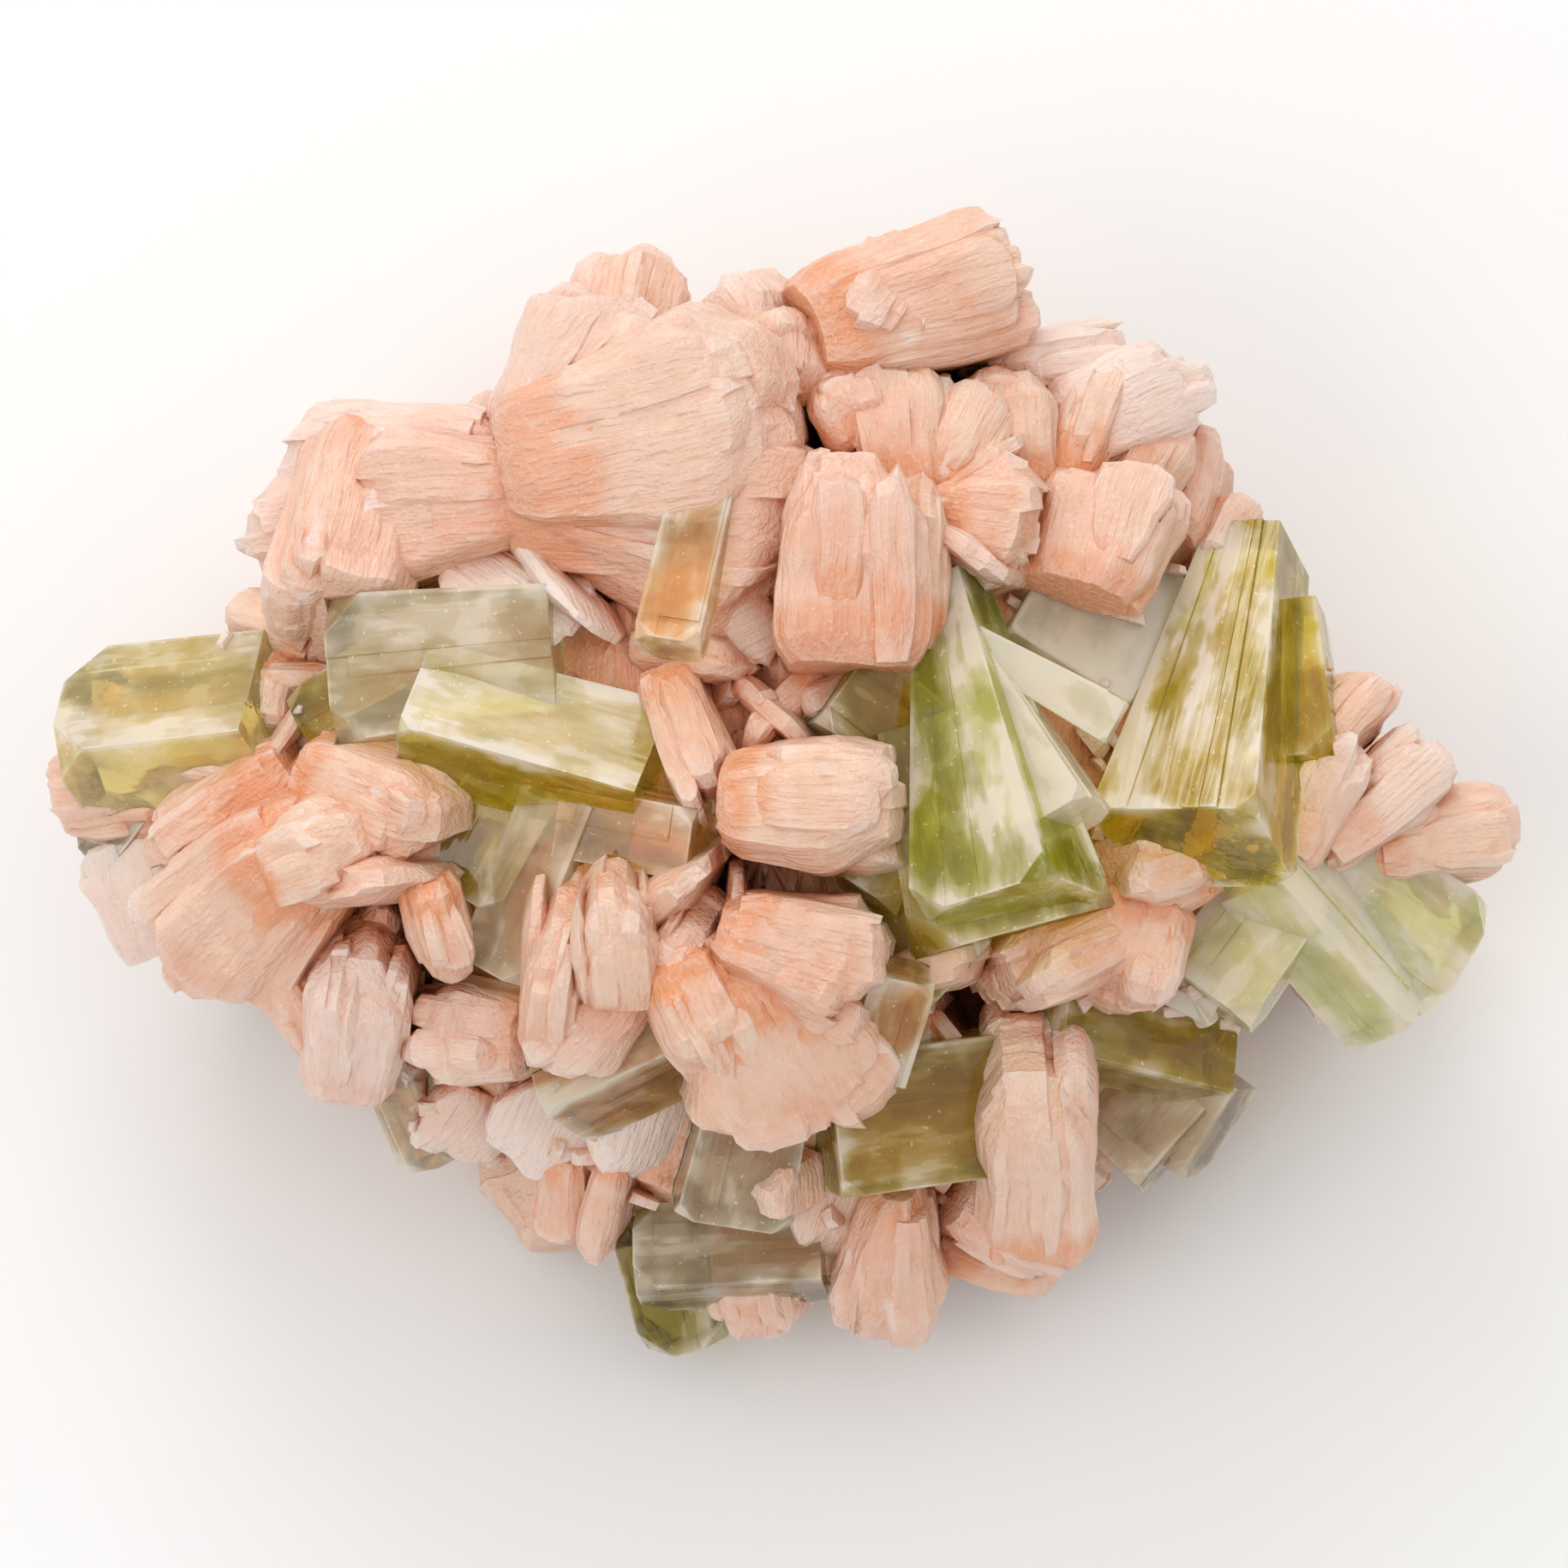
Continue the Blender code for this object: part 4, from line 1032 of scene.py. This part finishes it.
def stilbite_material(settings):
    """Satin peach crystal, orange along its roots and lined along the fibres, with painted shade in its crevices,
    creases and hollow, and a painted pearly sheen, glints and edge highlights.
    """
    material, tree, shader = new_material("stilbite peach")
    across, along, deep, growth, tone, painted_sheen = fibre_places(tree)
    lines = grain_noise(tree, across, along, deep, 1600.0, 0.09, 2.0)
    patches = object_noise(tree, 95.0, 1.0)
    mottle = object_noise(tree, 650.0, 1.0)
    sugar_and_glints = object_noise(tree, 2600.0, 0.0)
    open_air = add_node(tree, "ShaderNodeAttribute", {"attribute_name": "open"}).outputs["Fac"]
    ripeness = remap(tree, growth, 0.05, 0.85)
    paleness = maths(tree, "MULTIPLY", ripeness, remap(tree, patches, 0.24, 0.66, 0.35, 1.0))
    paleness = maths(tree, "ADD", paleness, remap(tree, mottle, 0.25, 0.75, -0.16, 0.20), True)
    skin = blend_colour(tree, remap(tree, paleness, 0.0, 0.55), (*settings.warm_roots_and_crease_shade, 1.0), (*settings.peach, 1.0))
    skin = blend_colour(tree, remap(tree, paleness, 0.55, 1.1), skin, (*settings.pale, 1.0))
    skin = blend_colour(tree, remap(tree, tone, 0.0, 1.0, 0.0, 0.4), skin, (*settings.pink, 1.0))
    skin = blend_colour(tree, remap(tree, lines, 0.46, 0.76, 0.0, 0.34), skin, (*settings.pale, 1.0))
    # Painted glints: the brightest specks of the sugar noise are made whiter
    skin = blend_colour(tree, remap(tree, sugar_and_glints, 0.72, 0.78, 0.0, 0.30), skin, (*settings.painted_sheen, 1.0))
    # Painted light from the mesh's pointiness: a whiter highlight on convex edges and warm shade in concave creases
    crest = add_node(tree, "ShaderNodeNewGeometry").outputs["Pointiness"]
    skin = blend_colour(tree, remap(tree, crest, 0.52, 0.60, 0.0, 0.55), skin, (*settings.painted_sheen, 1.0))
    skin = blend_colour(tree, remap(tree, crest, 0.48, 0.38, 0.0, 0.60), skin, (*settings.warm_roots_and_crease_shade, 1.0))
    # Painted pearly sheen: sheaves listed as pearly are made whiter
    skin = blend_colour(tree, maths(tree, "MULTIPLY", painted_sheen, 0.7), skin, (*settings.painted_sheen, 1.0))
    # Painted shade: orange-brown in the crevices and near-black where no short ray gets out
    skin = blend_colour(tree, remap(tree, open_air, 0.08, 0.55), (*settings.core, 1.0), skin)
    skin = blend_colour(tree, remap(tree, open_air, 0.0, 0.12), (*settings.cavity, 1.0), skin)
    tree.links.new(skin, shader.inputs["Base Color"])
    tree.links.new(remap(tree, sugar_and_glints, 0.35, 0.75, 0.54, 0.28), shader.inputs["Roughness"])
    shader.inputs["Subsurface Weight"].default_value = 0.28
    shader.inputs["Subsurface Radius"].default_value = (1.0, 0.42, 0.24)
    shader.inputs["Subsurface Scale"].default_value = settings.glow
    shader.inputs["Coat Weight"].default_value = 0.25
    shader.inputs["Coat Roughness"].default_value = 0.22
    normal = bump_up(tree, lines, 0.80, 0.00045)
    normal = bump_up(tree, sugar_and_glints, 0.45, 0.00018, normal)
    tree.links.new(normal, shader.inputs["Normal"])
    tree.links.new(normal, shader.inputs["Coat Normal"])
    return material


def crystal_material(name, settings):
    """Clear apophyllite with milky clouds, whiter rims that are partly wear and partly a painted highlight, painted
    glints and a painted reflection on some faces, lines along the prism and its own absorption colour.
    """
    cloud, absorbed, density, milkiness = FINISHES[name]
    material, tree, shader = new_material("apophyllite " + name)
    across, along, deep, growth, rim, veil_and_sheen = fibre_places(tree)
    lines = grain_noise(tree, across, along, deep, 700.0, 0.06, 2.0)
    wisps = grain_noise(tree, across, along, deep, 260.0, 0.30, 3.0)
    clouds = object_noise(tree, 170.0, 2.0)
    specks_and_glints = object_noise(tree, 1900.0, 1.0)
    milk_and_painted_light = maths(tree, "ADD", remap(tree, clouds, 0.32, 0.68, -0.10, 0.14), milkiness * settings.milkiness)
    milk_and_painted_light = maths(tree, "ADD", milk_and_painted_light, remap(tree, clouds, 0.52, 0.55, 0.0, 0.08))
    milk_and_painted_light = maths(tree, "ADD", milk_and_painted_light, remap(tree, wisps, 0.38, 0.62, -0.10, 0.16))
    milk_and_painted_light = maths(tree, "ADD", milk_and_painted_light, remap(tree, wisps, 0.56, 0.59, 0.0, 0.12))
    # Whiter faces: partly milky frosting, partly a painted reflection of the soft light
    milk_and_painted_light = maths(tree, "ADD", milk_and_painted_light, maths(tree, "MULTIPLY", veil_and_sheen, remap(tree, wisps, 0.35, 0.65, 0.30, 0.50)))
    # Whiter band along the prism's edges: partly worn edges, partly a painted highlight
    worn_and_bright_edges = maths(tree, "MULTIPLY", remap(tree, rim, 0.1, 0.9, 0.0, 0.28), remap(tree, clouds, 0.35, 0.6, 0.2, 1.3))
    milk_and_painted_light = maths(tree, "ADD", milk_and_painted_light, worn_and_bright_edges)
    # Painted highlight: a bright outline on the bevels
    milk_and_painted_light = maths(tree, "ADD", milk_and_painted_light, remap(tree, rim, 0.86, 0.96, 0.0, 0.20))
    # White specks: partly inclusions, partly painted glints of inner cracks
    milk_and_painted_light = maths(tree, "ADD", milk_and_painted_light, remap(tree, specks_and_glints, 0.70, 0.75, 0.0, 0.35), True)
    # Milky colour of the clouds, which also carries the painted highlights, glints and reflections
    colour = blend_colour(tree, remap(tree, milk_and_painted_light, 0.28, 0.85), (*cloud, 1.0), (*settings.milk_and_painted_light, 1.0))
    tree.links.new(colour, shader.inputs["Base Color"])
    tree.links.new(remap(tree, milk_and_painted_light, 0.0, 0.9, 0.92, 0.30), shader.inputs["Transmission Weight"])
    tree.links.new(remap(tree, milk_and_painted_light, 0.0, 1.0, 0.03, 0.24), shader.inputs["Roughness"])
    shader.inputs["IOR"].default_value = CRYSTAL_IOR
    shader.inputs["Subsurface Weight"].default_value = 0.28
    shader.inputs["Subsurface Radius"].default_value = (1.0, 0.85, 0.45)
    shader.inputs["Subsurface Scale"].default_value = 0.003
    normal = bump_up(tree, lines, 0.40, 0.00018)
    tree.links.new(normal, shader.inputs["Normal"])
    lamp_ray = add_node(tree, "ShaderNodeLightPath").outputs["Is Shadow Ray"]
    open_way = add_node(tree, "ShaderNodeBsdfTransparent", Color=(*LAMP_SHARE, 1.0)).outputs[0]
    surface = add_node(tree, "ShaderNodeMixShader", i0=lamp_ray, i1=shader.outputs[0], i2=open_way).outputs[0]
    absorption = add_node(tree, "ShaderNodeVolumeAbsorption", Color=(*absorbed, 1.0), Density=density)
    ends = tree.nodes["Material Output"]
    tree.links.new(surface, ends.inputs["Surface"])
    tree.links.new(absorption.outputs[0], ends.inputs["Volume"])
    return material


def matte_material(name, shade):
    material, tree, shader = new_material(name)
    shader.inputs["Base Color"].default_value = (shade, shade, shade, 1.0)
    shader.inputs["Roughness"].default_value = 0.7
    return material


def light_the_world(tree, bright, dim):
    """A soft white sky, brighter beyond the crest than on the near side."""
    toward = add_node(tree, "ShaderNodeTexCoord").outputs["Generated"]
    parts = add_node(tree, "ShaderNodeSeparateXYZ", Vector=toward)
    height = maths(tree, "ADD", maths(tree, "MULTIPLY", parts.outputs[1], 0.8), parts.outputs[2])
    sky = tree.nodes["Background"]
    sky.inputs["Color"].default_value = (1.0, 0.99, 0.98, 1.0)
    tree.links.new(remap(tree, height, -0.2, 1.2, dim, bright), sky.inputs["Strength"])


def add_light(name, place, size, power, target=(0, 0, 0.02)):
    lamp = bpy.data.lights.new(name, "AREA")
    lamp.shape = "DISK"
    lamp.size = size
    lamp.energy = power
    obj = bpy.data.objects.new(name, lamp)
    obj.location = place
    obj.rotation_euler = (Vector(target) - Vector(place)).to_track_quat("-Z", "Y").to_euler()
    bpy.context.scene.collection.objects.link(obj)


def colour_property(name, description, default):
    return bpy.props.FloatVectorProperty(
        name=name, description=description, default=default, size=3, min=0.0, max=1.0, subtype="COLOR",
    )


class StilbiteSettings(bpy.types.PropertyGroup):
    """Colours and crust of the stilbite."""

    peach: colour_property("Peach", "Colour of the open faces", (0.86, 0.51, 0.35))
    # Orange of the roots, which also paints shade into concave creases
    warm_roots_and_crease_shade: colour_property("Warm", "Colour near the roots of the sheaves", (0.84, 0.33, 0.13))
    pink: colour_property("Pink", "Colour that some sheaves lean towards", (0.83, 0.47, 0.36))
    pale: colour_property("Pale", "Colour of the ripe ends and the lines", (0.93, 0.66, 0.50))
    # Whiter colour painted for the pearly sheen, the glints and the highlights on convex edges
    painted_sheen: colour_property("Pearl", "Colour of the pearly plates", (0.94, 0.80, 0.74))
    # Colours of the painted shade: in the crevices, and where no light reaches
    core: colour_property("Core", "Colour in the crevices", (0.74, 0.28, 0.13))
    cavity: colour_property("Cavity", "Colour where no light reaches", (0.15, 0.04, 0.015))
    glow: bpy.props.FloatProperty(
        name="Glow", description="How far light spreads under the surface", default=0.0019,
        min=0.0, unit="LENGTH",
    )
    blades: bpy.props.IntProperty(
        name="Blades", description="How many small blades crust the gaps", default=DRUSE_BLADES, min=0,
    )


class ApophylliteSettings(bpy.types.PropertyGroup):
    """Cloudiness of the apophyllite."""

    # Colour of the milky clouds, also used for the painted highlights, glints and reflections
    milk_and_painted_light: colour_property("Milk", "Colour of the milky clouds", (0.93, 0.84, 0.69))
    milkiness: bpy.props.FloatProperty(
        name="Milkiness", description="How cloudy the crystals are", default=1.0, min=0.0, max=2.0,
        subtype="FACTOR",
    )


class StageSettings(bpy.types.PropertyGroup):
    """Floor and studio light."""

    floor_shade: bpy.props.FloatProperty(
        name="Floor shade", description="How light the floor is", default=0.96, min=0.0, max=1.0,
        subtype="FACTOR",
    )
    key_power: bpy.props.FloatProperty(
        name="Key light", description="Power of the light beyond the crest", default=2.0, min=0.0,
        unit="POWER",
    )
    fill_power: bpy.props.FloatProperty(
        name="Fill light", description="Power of the light on the camera's side", default=1.7, min=0.0,
        unit="POWER",
    )
    sky: bpy.props.FloatProperty(
        name="Sky", description="Strength of the sky beyond the crest", default=1.0, min=0.0,
    )
    sky_low: bpy.props.FloatProperty(
        name="Low sky", description="Strength of the sky on the near side", default=0.48, min=0.0,
    )


class SPECIMEN_OT_stage(bpy.types.Operator):
    """Adds the floor, the lights and the camera"""

    bl_idname = "specimen.stage"
    bl_label = "Stage"

    def execute(self, context):
        settings = context.scene.specimen_stage
        scene = context.scene
        scene.view_settings.view_transform = "Standard"
        for name, value in LIGHT_PATHS.items():
            setattr(scene.cycles, name, value)
        scene.world = bpy.data.worlds.new("Soft studio")
        scene.world.use_nodes = True
        light_the_world(scene.world.node_tree, settings.sky, settings.sky_low)
        bm = bmesh.new()
        bmesh.ops.create_grid(bm, x_segments=1, y_segments=1, size=1.5)
        floor = new_object("floor", bm, [matte_material("floor", settings.floor_shade)])
        add_light("key light", (-0.20, 0.78, 0.55), 0.50, settings.key_power)
        add_light("fill light", (-0.45, -0.35, 0.85), 0.60, settings.fill_power)
        normal = Vector((0, -math.sin(FACE_LEAN), math.cos(FACE_LEAN)))
        camera = bpy.data.objects.new("camera", bpy.data.cameras.new("camera"))
        camera.location = Vector(FACE_PLACE) + normal * CAMERA_DISTANCE
        camera.rotation_euler = (FACE_LEAN, 0, 0)
        camera.data.sensor_width = SENSOR_WIDTH
        camera.data.lens = SENSOR_WIDTH * (CAMERA_DISTANCE - FACE_RISE) / VIEW_WIDTH
        scene.collection.objects.link(camera)
        scene.camera = camera
        return {"FINISHED"}


class SPECIMEN_OT_stilbite(bpy.types.Operator):
    """Grows the lump, the sheaves and the crust of stilbite into one skin"""

    bl_idname = "specimen.stilbite"
    bl_label = "Stilbite"

    def execute(self, context):
        settings = context.scene.specimen_stilbite
        noise.seed_set(SEED)
        rng = random.Random(SEED)
        shapes = []
        for name, root, tip, spread, breadth, roll, *point in SHEAVES:
            root, tip = on_dome(root), on_dome(tip)
            painted_sheen = PEARLY_SHEEN.get(name, 0.0)
            point = point[0] if point else POINT
            shapes += sheaf_shapes(root, tip, spread, breadth, roll, point, painted_sheen, rng)
        for root, tip, spread, breadth, roll in star_rays():
            bm = sheaf_mesh((tip - root).length, spread, breadth, POINT, 0.3, rng, (0.55, 0.2))
            shapes.append((bm, stand_along(root, tip, roll)))
        for root, tip, spread, breadth, roll in flank_sheaves():
            shapes += sheaf_shapes(root, tip, spread, breadth, roll, FILLER_POINT, 0.0, rng)
        for root, tip, thick, breadth, roll in druse_blades(settings.blades):
            bm = blade_mesh((tip - root).length, thick, breadth, rng)
            shapes.append((bm, stand_along(root, tip, roll)))
        skin = grown_together("stilbite_growth", lump_mesh(), shapes, stilbite_material(settings))
        draw_inside(skin)
        openness(skin, 0.007, 12, rng)
        smooth_by_angle(skin, 26)
        belongs(skin, "stilbite", "stilbite")
        return {"FINISHED"}


class SPECIMEN_OT_apophyllite(bpy.types.Operator):
    """Grows the apophyllite prisms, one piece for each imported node"""

    bl_idname = "specimen.apophyllite"
    bl_label = "Apophyllite"

    def execute(self, context):
        settings = context.scene.specimen_apophyllite
        materials = {name: crystal_material(name, settings) for name in FINISHES}
        rng = random.Random(SEED + 2)
        for node, rows in PRISMS.items():
            rows += CHIPS.get(node, ())
            finishes = CRYSTAL_FINISHES[node] + (CHIP_FINISH,) * len(CHIPS.get(node, ()))
            used = sorted(set(finishes))
            group = bmesh.new()
            for index, (root, tip, root_size, tip_size, roll, corner) in enumerate(rows):
                root, tip = on_dome(root), on_dome(tip)
                bm = prism_mesh((tip - root).length, root_size, tip_size, corner, rng)
                bm.transform(stand_along(root, tip, roll))
                if (node, index) in VEILS_AND_SHEEN:
                    veil_and_sheen_faces(bm, root, tip, tip_size[0] / 2, *VEILS_AND_SHEEN[node, index])
                for face in bm.faces:
                    face.material_index = used.index(finishes[index])
                bm.transform(face_matrix())
                add_shell(group, bm)
            piece = new_object(node.replace("apophyllite", "clear"), group, [materials[name] for name in used])
            draw_inside(piece)
            belongs(piece, "apophyllite", node)
        return {"FINISHED"}


def veil_and_sheen_faces(bm, root, tip, half_width, direction, band):
    """Marks the faces that look in a direction as whiter, on one side of the prism's middle line: partly milky
    frosting, partly a painted reflection.
    """
    growth = bm.loops.layers.uv["growth"]
    wanted = Vector(direction).normalized()
    side = Vector((0, 0, 1)).cross(tip - root).normalized()
    start, full = band
    bm.normal_update()
    for face in bm.faces:
        if face.normal.dot(wanted) > VEIL_AND_SHEEN_REACH:
            for loop in face.loops:
                place = (loop.vert.co - root).dot(side) / half_width
                loop[growth].uv.y = min(1.0, max(0.0, (place - start) / (full - start)))


def add_shell(group, bm):
    """Adds one closed mesh to a group of them."""
    bmesh.ops.recalc_face_normals(bm, faces=bm.faces)
    mesh = bpy.data.meshes.new("shell")
    bm.to_mesh(mesh)
    bm.free()
    group.from_mesh(mesh)
    bpy.data.meshes.remove(mesh)


class SPECIMEN_PT_crystals(bpy.types.Panel):
    """Buttons and settings for the specimen"""

    bl_idname = "SPECIMEN_PT_crystals"
    bl_label = "Crystals"
    bl_space_type = "VIEW_3D"
    bl_region_type = "UI"
    bl_category = "Crystals"

    def draw(self, context):
        scene = context.scene
        for operator, settings in (
            (SPECIMEN_OT_stage, scene.specimen_stage),
            (SPECIMEN_OT_stilbite, scene.specimen_stilbite),
            (SPECIMEN_OT_apophyllite, scene.specimen_apophyllite),
        ):
            box = self.layout.box()
            box.operator(operator.bl_idname)
            for name in settings.bl_rna.properties.keys():
                if name not in ("rna_type", "name"):
                    box.prop(settings, name)


SETTINGS = {
    "specimen_stage": StageSettings,
    "specimen_stilbite": StilbiteSettings,
    "specimen_apophyllite": ApophylliteSettings,
}
OPERATORS = (SPECIMEN_OT_stage, SPECIMEN_OT_stilbite, SPECIMEN_OT_apophyllite)
CLASSES = (*SETTINGS.values(), *OPERATORS, SPECIMEN_PT_crystals)


def register():
    for cls in CLASSES:
        bpy.utils.register_class(cls)
    for name, cls in SETTINGS.items():
        setattr(bpy.types.Scene, name, bpy.props.PointerProperty(type=cls))


def unregister():
    for name in SETTINGS:
        delattr(bpy.types.Scene, name)
    for cls in reversed(CLASSES):
        bpy.utils.unregister_class(cls)


def main():
    register()
    bpy.ops.specimen.stage()
    bpy.ops.specimen.stilbite()
    bpy.ops.specimen.apophyllite()
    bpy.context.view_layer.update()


if __name__ == "__main__":
    main()
